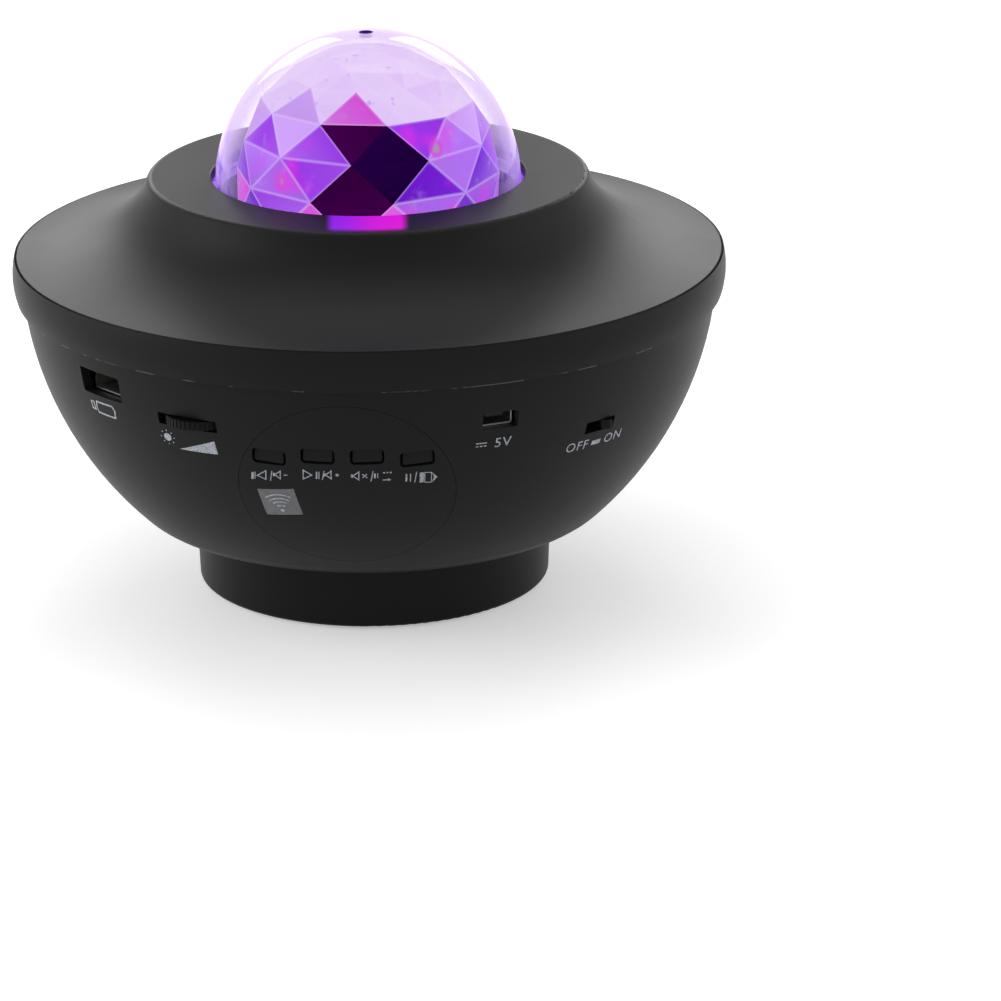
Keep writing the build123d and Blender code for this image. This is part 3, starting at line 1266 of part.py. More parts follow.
# ================================================================ write the nodes
def main():
    os.makedirs("parts", exist_ok=True)
    nodes = {
        "top_shell": top_shell(),
        "bowl_shell": bowl_shell(),
        "control_panel": control_panel(),
        "base_cover": base_cover(),
        "rubber_feet": rubber_feet(),
        "base_screws": base_screws(),
        "crystal_dome": crystal_dome(),
        "dome_retainer": dome_retainer(),
        "dome_screws": dome_screws(),
        "lens_deck": lens_deck(),
        "deck_screws": deck_screws(),
        "ripple_lens": ripple_lens(),
        "grating_disc": grating_disc(),
        "lens_motor": lens_motor(),
        "motor_shaft": motor_shaft(),
        "motor_pinion": motor_pinion(),
        "motor_screws": motor_screws(),
        "led_board": led_board(),
        "led_emitters": led_emitters(),
        "heat_sink": heat_sink(),
        "led_screws": led_screws(),
        "laser_barrel": laser_barrel(),
        "laser_lens": laser_lens(),
        "main_board": main_board(),
        "board_screws": board_screws(),
        "board_chips": board_chips(),
        "capacitors": capacitors(),
        "microphone": microphone(),
        "usb_a_shell": usb_a_shell(),
        "usb_a_tongue": usb_a_tongue(),
        "usb_a_contacts": usb_a_contacts(),
        "usb_a_stand": usb_a_stand(),
        "mini_usb_shell": mini_usb_shell(),
        "mini_usb_tongue": mini_usb_tongue(),
        "dimmer_wheel": dimmer_wheel(),
        "dimmer_body": dimmer_body(),
        "switch_body": switch_body(),
        "switch_knob": switch_knob(),
        "button_board": button_board(),
        "button_switches": button_switches(),
        "ir_receiver": ir_receiver(),
        "ir_window": ir_window(),
        "speaker_frame": speaker_frame(),
        "speaker_magnet": speaker_magnet(),
        "speaker_cone": speaker_cone(),
        "speaker_surround": speaker_surround(),
        "speaker_screws": speaker_screws(),
        "speaker_lead": speaker_lead(),
        "motor_lead": motor_lead(),
        "light_leads": together([laser_lead(), led_lead()]),
        "button_lead": button_lead(),
        "lead_plugs": lead_plugs(),
    }
    for name, place in zip(BUTTON_NAMES, button_places()):
        nodes["button_" + name] = button_cap(place)
        nodes["plunger_" + name] = plunger(place)
    for name, shape in nodes.items():
        export_step(shape, "parts/" + name + ".step")


main()
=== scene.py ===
import math
import random

import bpy
from bpy.props import FloatProperty, FloatVectorProperty, PointerProperty
from mathutils import Matrix, Vector


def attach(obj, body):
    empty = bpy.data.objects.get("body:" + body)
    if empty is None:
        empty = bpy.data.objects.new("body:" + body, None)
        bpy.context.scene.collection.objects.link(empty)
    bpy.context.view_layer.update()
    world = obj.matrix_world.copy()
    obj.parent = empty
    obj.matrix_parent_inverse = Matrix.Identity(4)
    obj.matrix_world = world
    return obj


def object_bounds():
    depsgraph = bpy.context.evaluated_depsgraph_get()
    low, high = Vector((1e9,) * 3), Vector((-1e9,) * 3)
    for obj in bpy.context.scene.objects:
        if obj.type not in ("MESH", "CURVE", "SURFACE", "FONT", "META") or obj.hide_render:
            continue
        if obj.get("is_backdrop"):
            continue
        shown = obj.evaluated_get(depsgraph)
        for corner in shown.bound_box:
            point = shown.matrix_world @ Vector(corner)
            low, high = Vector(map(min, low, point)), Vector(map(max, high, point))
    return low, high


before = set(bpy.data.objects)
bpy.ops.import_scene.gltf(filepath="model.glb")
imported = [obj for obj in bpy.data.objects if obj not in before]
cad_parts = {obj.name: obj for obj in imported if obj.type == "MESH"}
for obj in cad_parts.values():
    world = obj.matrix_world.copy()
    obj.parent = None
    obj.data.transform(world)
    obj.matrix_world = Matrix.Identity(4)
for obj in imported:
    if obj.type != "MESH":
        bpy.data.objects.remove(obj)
CAD_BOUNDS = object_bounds()

bl_info = {
    "name": "Star night light projector",
    "version": (1, 0, 0),
    "blender": (4, 5, 0),
    "location": "View3D > Sidebar > Star projector",
    "description": "Dresses the projector: satin casing, lit crystal dome, printed symbols, studio",
    "category": "Object",
}

MM = 0.001
BLACK = (0.0, 0.0, 0.0)
WHITE = (1.0, 1.0, 1.0)
# Places of the colour sockets on a Mix node, where a name stands for more than one.
MIX_FACTOR, MIX_FIRST, MIX_SECOND, MIX_RESULT = 0, 6, 7, 2

# The bowl's sphere, which the panel, the buttons and the printed symbols follow.
BOWL_CENTRE = Vector((0.0, 0.0, 80.0 * MM))
BOWL_RADIUS = 82.1 * MM
SEAM_HEIGHT = 71.5 * MM
PRINT_GAP = 0.02 * MM

# A fade is two values: where nothing shows, and where all of it does.
SEAM_DASH_FADE = (0.35 * MM, 0.10 * MM)
SPILL_SIDE_FADE = (1.12, 0.84)
SPILL_REACH_FADE = (51.0 * MM, 47.0 * MM)
SPILL_DEPTH_FADE = (-20.0 * MM, -30.0 * MM)
SPILL_HEIGHT_FADE = (97.0 * MM, 98.6 * MM)
SPILL_HUE_FADE = (-8.0 * MM, 5.0 * MM)
EDGE_FADE = (0.30, 0.75)
# The painted shade in the laser's bore fades with the distance from the axis and with height.
BORE_REACH_FADE = (1.8 * MM, 1.65 * MM)
BORE_HEIGHT_FADE = (131.7 * MM, 132.0 * MM)
LOW_DOME_FADE = (116.0 * MM, 99.0 * MM)
GLINT_RIM_FADE = (3.6 * MM, 2.2 * MM)
GLINT_CORE_FADE = (2.3 * MM, 1.3 * MM)

# The crystal dome: a sphere outside, and rings of staggered triangles in its cavity.
DOME_CENTRE = Vector((0.0, 0.0, 97.1 * MM))
DOME_RADIUS = 35.87 * MM
DOME_SKIN_FADE = (DOME_RADIUS - 0.5 * MM, DOME_RADIUS - 0.3 * MM)
FACET_CENTRE = Vector((0.0, 0.0, 98.5 * MM))
FACET_RADIUS = 31.2 * MM
FACET_GAP = 0.12 * MM
# A point with another distance to each facet and each corner, which gives them a fixed order.
SORTING_POINT = Vector((49.4, -71.0, 36.6)) * MM
FACET_SIDES = 10
RING_COUNT = 5
# Degrees: the first ring's latitude, the step to the next one, and the dome's turn about its axis.
FIRST_RING = 2.5
RING_STEP = 16.9
DOME_TURN = 10.4
# One letter a facet, a ring a line from the collar up; the middle letter faces the controls.
FACET_TONES = (
    "vdmvdvmdvmpmadvamdvd",
    "vdavdadaavpkdadvavda",
    "avlavllvlvpkvalavlva",
    "wwlwwwwwlwmwwwwwlwww",
    "wwwwwwwwwwwwwwwwwwww",
    "wwwwwwwwww",
)
# Where a painted glint shows a lamp through a facet as a pale spot: azimuth and latitude in degrees.
GLINTS = ((-43.0, 9.0), (35.0, 24.0), (100.0, 12.0), (-130.0, 22.0))
GLINT_WOBBLE = 1.2 * MM

# Where each print lies on the bowl: azimuth in degrees, height in millimetres and turn in degrees.
STICK_PLACE = (-50.0, 57.9, 0.0)
SUN_PLACE = (-36.2, 55.5, 0.0)
WEDGE_PLACE = (-30.0, 54.12, 0.0)
BUTTON_PRINT_PLACE = (-5.0, 49.8, 0.0)
SIGNAL_PLACE = (-17.0, 41.4, 6.3)
INLET_PRINT_PLACE = (20.7, 56.1, 0.0)
SWITCH_PRINT_PLACE = (41.4, 50.7, 0.0)
# The prints' own sizes, in millimetres.
THIN_STROKE = 0.24
LETTER_HEIGHT = 2.5
SUN_RAY_REACH = 1.8
SIGNAL_RADII = (1.9, 3.1, 4.2, 5.4)
# A capital letter's height as a share of the font's size, and the room between letters.
CAPITAL_SHARE = 0.70
LETTER_ROOM = 1.12

LAMP_TARGET = Vector((0.0, 0.0, 60.0 * MM))


# ---------------------------------------------------------------- settings
def length(name, description, millimetres):
    return FloatProperty(name=name, description=description, default=millimetres * MM, unit="LENGTH",
                         subtype="DISTANCE", precision=5)


def angle(name, description, degrees):
    return FloatProperty(name=name, description=description, default=math.radians(degrees), unit="ROTATION",
                         subtype="ANGLE")


def colour(name, description, red, green, blue):
    return FloatVectorProperty(name=name, description=description, default=(red, green, blue), size=3,
                               min=0.0, max=1.0, subtype="COLOR")


def number(name, description, value):
    return FloatProperty(name=name, description=description, default=value)


class PROJECTOR_PG_casing(bpy.types.PropertyGroup):
    plastic: colour("Plastic", "Colour of the moulded casing", 0.0080, 0.0080, 0.0086)
    roughness: number("Roughness", "Roughness of the satin surface", 0.40)
    gloss: number("Gloss", "Specular level of the satin surface", 0.10)
    grain: length("Grain", "Size of the moulded grain", 0.35)
    # Colour of the pale dashes that lighten the plastic along the seam's height.
    seam_dashes: colour("Scuff", "Colour of the rubbed edge at the seam", 0.16, 0.16, 0.17)
    # The dome's light painted on the collar as emission.
    spill_left: colour("Spill, left", "Colour of the dome's light on the collar's left", 0.305, 0.007, 0.871)
    spill_right: colour("Spill, right", "Colour of that light on the right", 0.76, 0.0, 0.76)
    spill_width: length("Spill width", "Half width of the dome's light on the collar", 8.7)
    spill_offset: length("Spill offset", "How far left of the middle that light lies", 0.4)
    spill_strength: number("Spill strength", "Strength of the dome's light on the collar", 0.9)


class PROJECTOR_PG_dome(bpy.types.PropertyGroup):
    violet: colour("Violet", "Main colour of the lit facets", 0.34, 0.04, 0.86)
    deep: colour("Deep violet", "Colour of the facets turned away from the lamps", 0.16, 0.007, 0.65)
    magenta: colour("Magenta", "Second colour of the lit facets", 0.66, 0.08, 0.68)
    pale: colour("Pale violet", "Colour of the facets between violet and lavender", 0.43, 0.15, 0.90)
    lavender: colour("Lavender", "Colour of the brightest lower facets", 0.62, 0.36, 0.94)
    # Painted darkness: the facets where the dark laser barrel shows through the crystal.
    plum: colour("Plum", "Colour of the facets in front of the laser", 0.042, 0.0, 0.055)
    dark: colour("Dark plum", "Colour of the darkest of them", 0.014, 0.0, 0.045)
    white: colour("White", "Colour of the bright upper facets", 0.83, 0.68, 0.96)
    spot: colour("Spot", "Colour of a lamp that shows through", 0.30, 0.36, 0.32)
    blush: colour("Blush", "Colour of the soft patches on the facets", 0.78, 0.03, 0.80)
    skin: colour("Skin", "Colour of the dome's outer skin", 0.30, 0.26, 0.36)
    haze: colour("Haze", "Milky light in the upper part of the skin", 0.46, 0.33, 0.56)
    # Painted shade in the mouth of the laser's bore.
    bore_shade: colour("Bore", "Colour of the laser's bore", 0.012, 0.0, 0.06)
    bore_light: colour("Bore light", "Light in the laser's bore", 0.03, 0.0, 0.16)
    glow: number("Glow", "Strength of the facets' light", 1.0)
    ridge: length("Ridge", "Width of the soft edge of a facet", 0.5)


class PROJECTOR_PG_print(bpy.types.PropertyGroup):
    ink: colour("Ink", "Colour of the printed symbols", 0.46, 0.49, 0.54)
    thickness: length("Ink thickness", "Thickness of the print", 0.03)
    line: length("Line", "Width of an outline in a symbol", 0.25)


class PROJECTOR_PG_studio(bpy.types.PropertyGroup):
    distance: length("Camera distance", "From the middle of the base to the camera", 1344.0)
    elevation: angle("Camera elevation", "Height of the camera above the floor, as an angle", 19.71)
    yaw: angle("Camera yaw", "Turn of the camera about its upright", -1.3)
    pitch: angle("Camera pitch", "Tilt of the camera up from the base", 0.69)
    roll: angle("Camera roll", "Turn of the camera about its line of sight", 0.98)
    lens: FloatProperty(name="Lens", description="Focal length", default=201.05, unit="CAMERA")
    world_light: number("World light", "Strength of the light from all around", 0.45)
    left_light: number("Left light", "Power of the lamp on the left", 4.0)
    right_light: number("Right light", "Power of the lamp on the right", 1.6)
    back_light: number("Back light", "Power of each lamp behind", 2.7)
    top_light: number("Top light", "Power of the overhead lamp", 3.0)
    floor_colour: colour("Floor colour", "Colour of the floor", 0.86, 0.86, 0.86)
    floor_lift: number("Floor lift", "Light that the floor adds of its own for the camera", 0.4)
    floor_size: length("Floor size", "Side of the floor", 9000.0)


class PROJECTOR_PG_settings(bpy.types.PropertyGroup):
    casing: PointerProperty(type=PROJECTOR_PG_casing)
    dome: PointerProperty(type=PROJECTOR_PG_dome)
    printing: PointerProperty(type=PROJECTOR_PG_print)
    studio: PointerProperty(type=PROJECTOR_PG_studio)


def settings():
    return bpy.context.scene.star_projector


# ---------------------------------------------------------------- shader maths
class Socket:
    """A value in a material's nodes that Python arithmetic can work on."""

    def __init__(self, shader, socket):
        self.shader = shader
        self.socket = socket

    def maths(self, operation, first, second):
        return self.shader.maths(operation, first, second)

    def __add__(self, other):
        return self.maths("ADD", self, other)

    def __radd__(self, other):
        return self.maths("ADD", other, self)

    def __sub__(self, other):
        return self.maths("SUBTRACT", self, other)

    def __rsub__(self, other):
        return self.maths("SUBTRACT", other, self)

    def __mul__(self, other):
        return self.maths("MULTIPLY", self, other)

    def __rmul__(self, other):
        return self.maths("MULTIPLY", other, self)

    def __pow__(self, other):
        return self.maths("POWER", self, other)

    def __abs__(self):
        return self.maths("ABSOLUTE", self, 0.0)


class Shader:
    """The nodes of one material, lamp or world."""

    def __init__(self, tree):
        self.tree = tree
        tree.nodes.clear()

    def node(self, kind, options=None, sockets=None, output=0):
        made = self.tree.nodes.new(kind)
        for name, value in (options or {}).items():
            setattr(made, name, value)
        for name, value in (sockets or {}).items():
            if isinstance(value, Socket):
                self.tree.links.new(value.socket, made.inputs[name])
            else:
                made.inputs[name].default_value = value
        return Socket(self, made.outputs[output]) if made.outputs else None

    def maths(self, operation, first, second):
        return self.node("ShaderNodeMath", {"operation": operation}, {0: first, 1: second})

    def place(self):
        return self.node("ShaderNodeTexCoord", output="Object")

    def axes(self):
        """The place on the piece: to the right, away from the front, and up."""
        split = self.node("ShaderNodeSeparateXYZ", sockets={0: self.place()})
        return [Socket(self, output) for output in split.socket.node.outputs]

    def distance(self, point):
        """How far the place on the piece is from a fixed point."""
        return self.node("ShaderNodeVectorMath", {"operation": "DISTANCE"},
                         {0: self.place(), 1: tuple(point)}, output="Value")

    def attribute(self, name, output="Fac"):
        return self.node("ShaderNodeAttribute", {"attribute_name": name}, output=output)

    def noise(self, scale, detail=2.0, roughness=0.5, vector=None):
        """Cloudy noise; the scale is about how many clouds fit in a metre."""
        where = vector or self.place()
        return self.node("ShaderNodeTexNoise", sockets={"Vector": where, "Scale": scale, "Detail": detail,
                                                        "Roughness": roughness})

    def smooth(self, value, low, high):
        """0 below low, 1 above high and a smooth step between."""
        return self.node("ShaderNodeMapRange", {"interpolation_type": "SMOOTHSTEP"},
                         {"Value": value, "From Min": low, "From Max": high})

    def mix(self, factor, first, second):
        sockets = {MIX_FACTOR: factor, MIX_FIRST: with_alpha(first), MIX_SECOND: with_alpha(second)}
        return self.node("ShaderNodeMix", {"data_type": "RGBA"}, sockets, output=MIX_RESULT)

    def bump(self, height, distance, strength=1.0):
        return self.node("ShaderNodeBump", sockets={"Height": height, "Distance": distance,
                                                    "Strength": strength})

    def surface(self, sockets):
        """The principled surface; plain colours are written as three numbers."""
        whole = {name: with_alpha(value) for name, value in sockets.items()}
        shaded = self.node("ShaderNodeBsdfPrincipled", sockets=whole)
        self.node("ShaderNodeOutputMaterial", sockets={"Surface": shaded})


def with_alpha(value):
    """A plain colour gets a fourth number; a number or a socket stays as it is."""
    return (*value, 1.0) if isinstance(value, tuple) else value


def times(values, share):
    return tuple(value * share for value in values)


def off_axis(across, depth):
    """How far a place is from the projector's upright axis."""
    return (across * across + depth * depth) ** 0.5


def material(name):
    made = bpy.data.materials.new(name)
    made.use_nodes = True
    return made, Shader(made.node_tree)


def dress(made, *nodes):
    """Puts a material on whole CAD nodes."""
    for name in nodes:
        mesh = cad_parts[name].data
        mesh.materials.clear()
        mesh.materials.append(made)


# ---------------------------------------------------------------- materials
def satin_plastic(name, with_spill=False):
    """Satin black moulded plastic with a fine grain, faint handling marks and paler dashes along the seam."""
    choice = settings().casing
    made, shader = material(name)
    grain = shader.noise(1.0 / choice.grain, 3.0, 0.6)
    cloud = shader.noise(28.0, 3.0, 0.55)
    dust = shader.smooth(shader.noise(900.0, 1.0), 0.74, 0.80)
    height = shader.axes()[2]
    along = shader.smooth(shader.noise(160.0, 2.0), 0.52, 0.60)
    # Pale broken dashes at the seam's height.
    seam = shader.smooth(abs(height - SEAM_HEIGHT), *SEAM_DASH_FADE) * along
    plastic = tuple(choice.plastic)
    body = shader.mix(cloud * 0.5 + dust * 0.25, plastic, times(plastic, 1.5))
    body = shader.mix(seam * 0.55, body, tuple(choice.seam_dashes))
    sockets = {
        "Base Color": body,
        "Roughness": choice.roughness + cloud * 0.08 - dust * 0.05,
        "Specular IOR Level": choice.gloss,
        "Normal": shader.bump(grain, 0.012 * MM, 0.5),
    }
    # The dome's violet light, painted on the collar as emission.
    if with_spill:
        sockets["Emission Color"] = collar_spill(shader)
        sockets["Emission Strength"] = choice.spill_strength
    shader.surface(sockets)
    return made


def collar_spill(shader):
    """Painted light: the violet light that the dome throws on the collar in front of it, as emission."""
    choice = settings().casing
    across, depth, height = shader.axes()
    aside = across + choice.spill_offset
    narrow = shader.smooth(abs(aside), *times(SPILL_SIDE_FADE, choice.spill_width))
    near = shader.smooth(off_axis(across, depth), *SPILL_REACH_FADE)
    near = near * shader.smooth(depth, *SPILL_DEPTH_FADE)
    high = shader.smooth(height, *SPILL_HEIGHT_FADE)
    hue = shader.smooth(aside, *SPILL_HUE_FADE)
    spill = shader.mix(hue, tuple(choice.spill_left), tuple(choice.spill_right))
    return shader.mix(narrow * near * high, BLACK, spill)


def moulded_plastic(name, shade, roughness, gloss, grain=0.3):
    """Plain moulded plastic, rubber, foam or paper; the grain's size is in millimetres."""
    made, shader = material(name)
    rough = shader.noise(1.0 / (grain * MM), 3.0, 0.6)
    cloud = shader.noise(60.0, 2.0)
    body = shader.mix(cloud, shade, times(shade, 1.35))
    shader.surface({"Base Color": body, "Roughness": roughness + cloud * 0.1, "Specular IOR Level": gloss,
                    "Normal": shader.bump(rough, 0.02 * MM, 0.6)})
    return made


def metal(name, shade, roughness, brush=None):
    """Bare metal; a brush of (x, y, z) scales draws its lines out along the smallest one."""
    made, shader = material(name)
    where = shader.place()
    if brush:
        where = shader.node("ShaderNodeMapping", sockets={"Vector": where, "Scale": brush})
    lines = shader.noise(900.0, 3.0, 0.6, vector=where)
    body = shader.mix(lines * 0.6, shade, times(shade, 0.72))
    shader.surface({"Base Color": body, "Metallic": 1.0, "Roughness": roughness + lines * 0.14,
                    "Normal": shader.bump(lines, 0.01 * MM, 0.3)})
    return made


def crystal(name, shade, roughness):
    """Clear moulded crystal with a trace of waviness."""
    made, shader = material(name)
    wave = shader.noise(70.0, 1.0)
    shader.surface({"Base Color": shade, "Roughness": roughness, "IOR": 1.46, "Transmission Weight": 1.0,
                    "Normal": shader.bump(wave, 0.05 * MM, 0.25)})
    return made


def dome_glass(name):
    """The dome's outer skin: unseen face on, with a milky glow painted towards its edge, and painted shade at
    the laser's bore.
    """
    choice = settings().dome
    made, shader = material(name)
    across, depth, height = shader.axes()
    skin = shader.smooth(shader.distance(DOME_CENTRE), *DOME_SKIN_FADE)
    # Mask of the painted shade at the top of the laser's bore.
    bore_shade = shader.smooth(off_axis(across, depth), *BORE_REACH_FADE) * shader.smooth(height, *BORE_HEIGHT_FADE)
    edge = shader.node("ShaderNodeLayerWeight", sockets={"Blend": 0.5}, output="Facing")
    alpha = shader.smooth(edge, *EDGE_FADE) * 0.78 * skin
    low = shader.smooth(height, *LOW_DOME_FADE)
    fleck = shader.smooth(shader.noise(210.0, 2.0, 0.6), 0.50, 0.62)
    light = shader.mix(low * (0.5 + fleck * 0.5), tuple(choice.haze), tuple(choice.deep))
    shader.surface({"Base Color": shader.mix(bore_shade, tuple(choice.skin), tuple(choice.bore_shade)),
                    "Roughness": 0.03, "Alpha": alpha * (1.0 - bore_shade) + bore_shade, "Specular IOR Level": 0.12,
                    "Emission Color": shader.mix(bore_shade, light, tuple(choice.bore_light)),
                    "Emission Strength": 1.0})
    return made


def lit_facets(name):
    """The cavity's facets, glowing with painted light in the colours that the piece carries at its corners.
    """
    choice = settings().dome
    made, shader = material(name)
    glow = shader.attribute("glow", output="Color")
    ridge = shader.attribute("ridge")
    lit = shader.attribute("lit")
    clear = shader.attribute("clear")
    streak = shader.smooth(shader.noise(120.0, 3.0, 0.6), 0.54, 0.74) * lit * (1.0 - clear)
    blush = shader.smooth(shader.noise(70.0, 2.0, 0.5), 0.53, 0.68) * lit
    body = shader.mix(streak * 0.35, glow, tuple(choice.lavender))
    body = shader.mix(blush * (0.55 - clear * 0.47), body, tuple(choice.blush))
    # Painted sparkle of light on the clear upper facets.
    fleck = shader.smooth(shader.noise(300.0, 2.0, 0.6), 0.64, 0.70) * clear
    body = shader.mix(fleck * 0.45, body, tuple(choice.pale))
    # Painted light: the ridges between the facets glow paler.
    body = shader.mix(ridge * lit * 0.34, body, tuple(choice.white))
    for azimuth, latitude in GLINTS:
        body = glint(shader, body, azimuth, latitude)
    shader.surface({"Base Color": BLACK, "Roughness": 0.3, "Emission Color": body,
                    "Emission Strength": choice.glow, "Alpha": 1.0 - clear * 0.12,
                    "Specular IOR Level": 0.0})
    return made


def glint(shader, body, azimuth, latitude):
    """A painted glint: a lamp seen through the crystal, as a pale spot with a magenta rim."""
    choice = settings().dome
    level = math.radians(latitude)
    spot = FACET_CENTRE + (around(math.radians(azimuth)) * math.cos(level)
                           + Vector((0.0, 0.0, math.sin(level)))) * FACET_RADIUS
    away = shader.distance(spot) + shader.noise(400.0) * GLINT_WOBBLE
    body = shader.mix(shader.smooth(away, *GLINT_RIM_FADE) * 0.8, body, tuple(choice.magenta))
    return shader.mix(shader.smooth(away, *GLINT_CORE_FADE) * 0.85, body, tuple(choice.spot))


def print_ink(name):
    """Pad-printed ink, thin enough that the grain breaks it up a little."""
    made, shader = material(name)
    ink = tuple(settings().printing.ink)
    worn = shader.smooth(shader.noise(1800.0, 2.0), 0.30, 0.62)
    body = shader.mix(worn, times(ink, 0.55), ink)
    shader.surface({"Base Color": body, "Roughness": 0.5, "Specular IOR Level": 0.2})
    return made


def infrared_plastic(name):
    """Smoky translucent plastic with a coarse sparkling grain."""
    made, shader = material(name)
    grain = shader.noise(1500.0, 2.0, 0.7)
    cloud = shader.noise(260.0, 2.0)
    smoke, sparkle = (0.055, 0.056, 0.058), (0.25, 0.25, 0.26)
    body = shader.mix(grain * 0.7 + cloud * 0.3, smoke, sparkle)
    shader.surface({"Base Color": body, "Roughness": 0.42 + grain * 0.2, "Specular IOR Level": 0.3,
                    "Normal": shader.bump(grain, 0.05 * MM, 0.5)})
    return made


def solder_mask(name, shade):
    """A lacquered circuit board with the raised lines of its copper."""
    made, shader = material(name)
    traces = shader.node("ShaderNodeTexVoronoi", {"feature": "DISTANCE_TO_EDGE", "distance": "MANHATTAN"},
                         {"Vector": shader.place(), "Scale": 420.0})
    copper = shader.smooth(traces, 0.10, 0.06)
    body = shader.mix(copper, shade, tuple(min(1.0, part * 1.9 + 0.02) for part in shade))
    shader.surface({"Base Color": body, "Roughness": 0.32 + copper * 0.1,
                    "Normal": shader.bump(copper, 0.03 * MM, 0.6)})
    return made


def glowing_phosphor(name):
    """The yellow phosphor of a lit LED."""
    made, shader = material(name)
    grain = shader.noise(1400.0, 2.0)
    yellow, straw, violet = (0.75, 0.62, 0.12), (0.86, 0.78, 0.30), (0.55, 0.16, 1.0)
    shader.surface({"Base Color": shader.mix(grain, yellow, straw), "Roughness": 0.3,
                    "Emission Color": violet, "Emission Strength": 1.2})
    return made


# ---------------------------------------------------------------- modelling helpers
def deselect():
    bpy.ops.object.select_all(action="DESELECT")


def choose(obj):
    deselect()
    obj.select_set(True)
    bpy.context.view_layer.objects.active = obj


def settle(obj):
    """Moves an object's place into its mesh."""
    choose(obj)
    bpy.ops.object.transform_apply(location=True, rotation=True, scale=True)


def finish_modifiers(obj):
    choose(obj)
    for modifier in list(obj.modifiers):
        bpy.ops.object.modifier_apply(modifier=modifier.name)


def join(pieces, name):
    deselect()
    for piece in pieces:
        piece.select_set(True)
    bpy.context.view_layer.objects.active = pieces[0]
    if len(pieces) > 1:
        bpy.ops.object.join()
    whole = bpy.context.view_layer.objects.active
    whole.name = name
    whole.data.name = name
    return whole


def belong(obj, made):
    """Gives a new piece its material and fixes it to the casing."""
    obj.data.materials.clear()
    obj.data.materials.append(made)
    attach(obj, "casing")


def around(azimuth):
    """The level direction at an azimuth, which runs from the front to the right."""
    return Vector((math.sin(azimuth), -math.cos(azimuth), 0.0))


def skin_matrix(azimuth_degrees, height, turn_degrees):
    """Frame on the bowl's skin: x to the right, y up the skin, z outwards, turned about z."""
    azimuth = math.radians(azimuth_degrees)
    tilt = math.asin((BOWL_CENTRE.z - height) / BOWL_RADIUS)
    outward = around(azimuth) * math.cos(tilt) - Vector((0.0, 0.0, math.sin(tilt)))
    right = Vector((math.cos(azimuth), math.sin(azimuth), 0.0))
    up = outward.cross(right)
    axes = Matrix((right, up, outward)).transposed().to_4x4()
    turn = Matrix.Rotation(math.radians(turn_degrees), 4, "Z")
    return Matrix.Translation(BOWL_CENTRE + outward * BOWL_RADIUS) @ axes @ turn


# ---------------------------------------------------------------- print strokes
def bar(width, height, x, y, turn=0.0):
    """A flat bar of ink; sizes in millimetres."""
    bpy.ops.mesh.primitive_plane_add(size=1.0, location=(x * MM, y * MM, 0.0),
                                     rotation=(0.0, 0.0, math.radians(turn)))
    made = bpy.context.active_object
    made.scale = (width * MM, height * MM, 1.0)
    settle(made)
    return made


def patch(corners, radius, x, y, turn=0.0, stretch=(1.0, 1.0)):
    """A flat regular shape of ink: a dot, or a triangle that points to the right."""
    bpy.ops.mesh.primitive_circle_add(vertices=corners, radius=radius * MM, fill_type="NGON",
                                      rotation=(0.0, 0.0, math.radians(turn - 90.0)))
    made = bpy.context.active_object
    settle(made)
    made.scale = (stretch[0], stretch[1], 1.0)
    made.location = (x * MM, y * MM, 0.0)
    settle(made)
    return made


def outlined(made, line=None):
    """Leaves only a line of ink along the shape's edge."""
    width = line * MM if line else settings().printing.line
    choose(made)
    bpy.ops.object.mode_set(mode="EDIT")
    bpy.ops.mesh.select_all(action="SELECT")
    bpy.ops.mesh.inset(thickness=width)
    bpy.ops.mesh.delete(type="FACE")
    bpy.ops.object.mode_set(mode="OBJECT")
    return made


def arc(radius, line, x, y, half_angle):
    """A stroke of a circle, open at the bottom."""
    bpy.ops.mesh.primitive_circle_add(vertices=64, radius=radius * MM, fill_type="NGON")
    made = outlined(bpy.context.active_object, line)
    bpy.ops.object.mode_set(mode="EDIT")
    for side in (-1, 1):
        bpy.ops.mesh.select_all(action="SELECT")
        normal = (side * math.cos(half_angle), -math.sin(half_angle), 0.0)
        bpy.ops.mesh.bisect(plane_co=(0.0, 0.0, 0.0), plane_no=normal, clear_outer=True)
    bpy.ops.object.mode_set(mode="OBJECT")
    made.location = (x * MM, y * MM, 0.0)
    settle(made)
    return made


def words(text, size, x, y):
    """Sans letters of a height in millimetres, centred on x."""
    bpy.ops.object.text_add(location=(x * MM, y * MM, 0.0))
    made = bpy.context.active_object
    made.data.body = text
    made.data.size = size * MM / CAPITAL_SHARE
    made.data.align_x = "CENTER"
    made.data.align_y = "CENTER"
    made.data.resolution_u = 3
    made.data.space_character = LETTER_ROOM
    choose(made)
    bpy.ops.object.convert(target="MESH")
    made = bpy.context.active_object
    settle(made)
    return made


def shape(corners):
    """A flat shape of ink with its corners in millimetres."""
    bpy.ops.mesh.primitive_circle_add(vertices=len(corners), radius=MM, fill_type="NGON")
    made = bpy.context.active_object
    for vertex, (x, y) in zip(made.data.vertices, corners):
        vertex.co = (x * MM, y * MM, 0.0)
    choose(made)
    bpy.ops.object.mode_set(mode="EDIT")
    bpy.ops.mesh.select_all(action="SELECT")
    bpy.ops.mesh.normals_make_consistent(inside=False)
    bpy.ops.object.mode_set(mode="OBJECT")
    return made


def slant(x, top, bottom, width, lean=0.15):
    """An upright stroke that leans to the right at its top."""
    half = width / 2
    return shape(((x - half, bottom), (x + half, bottom), (x + half + lean, top), (x - half + lean, top)))


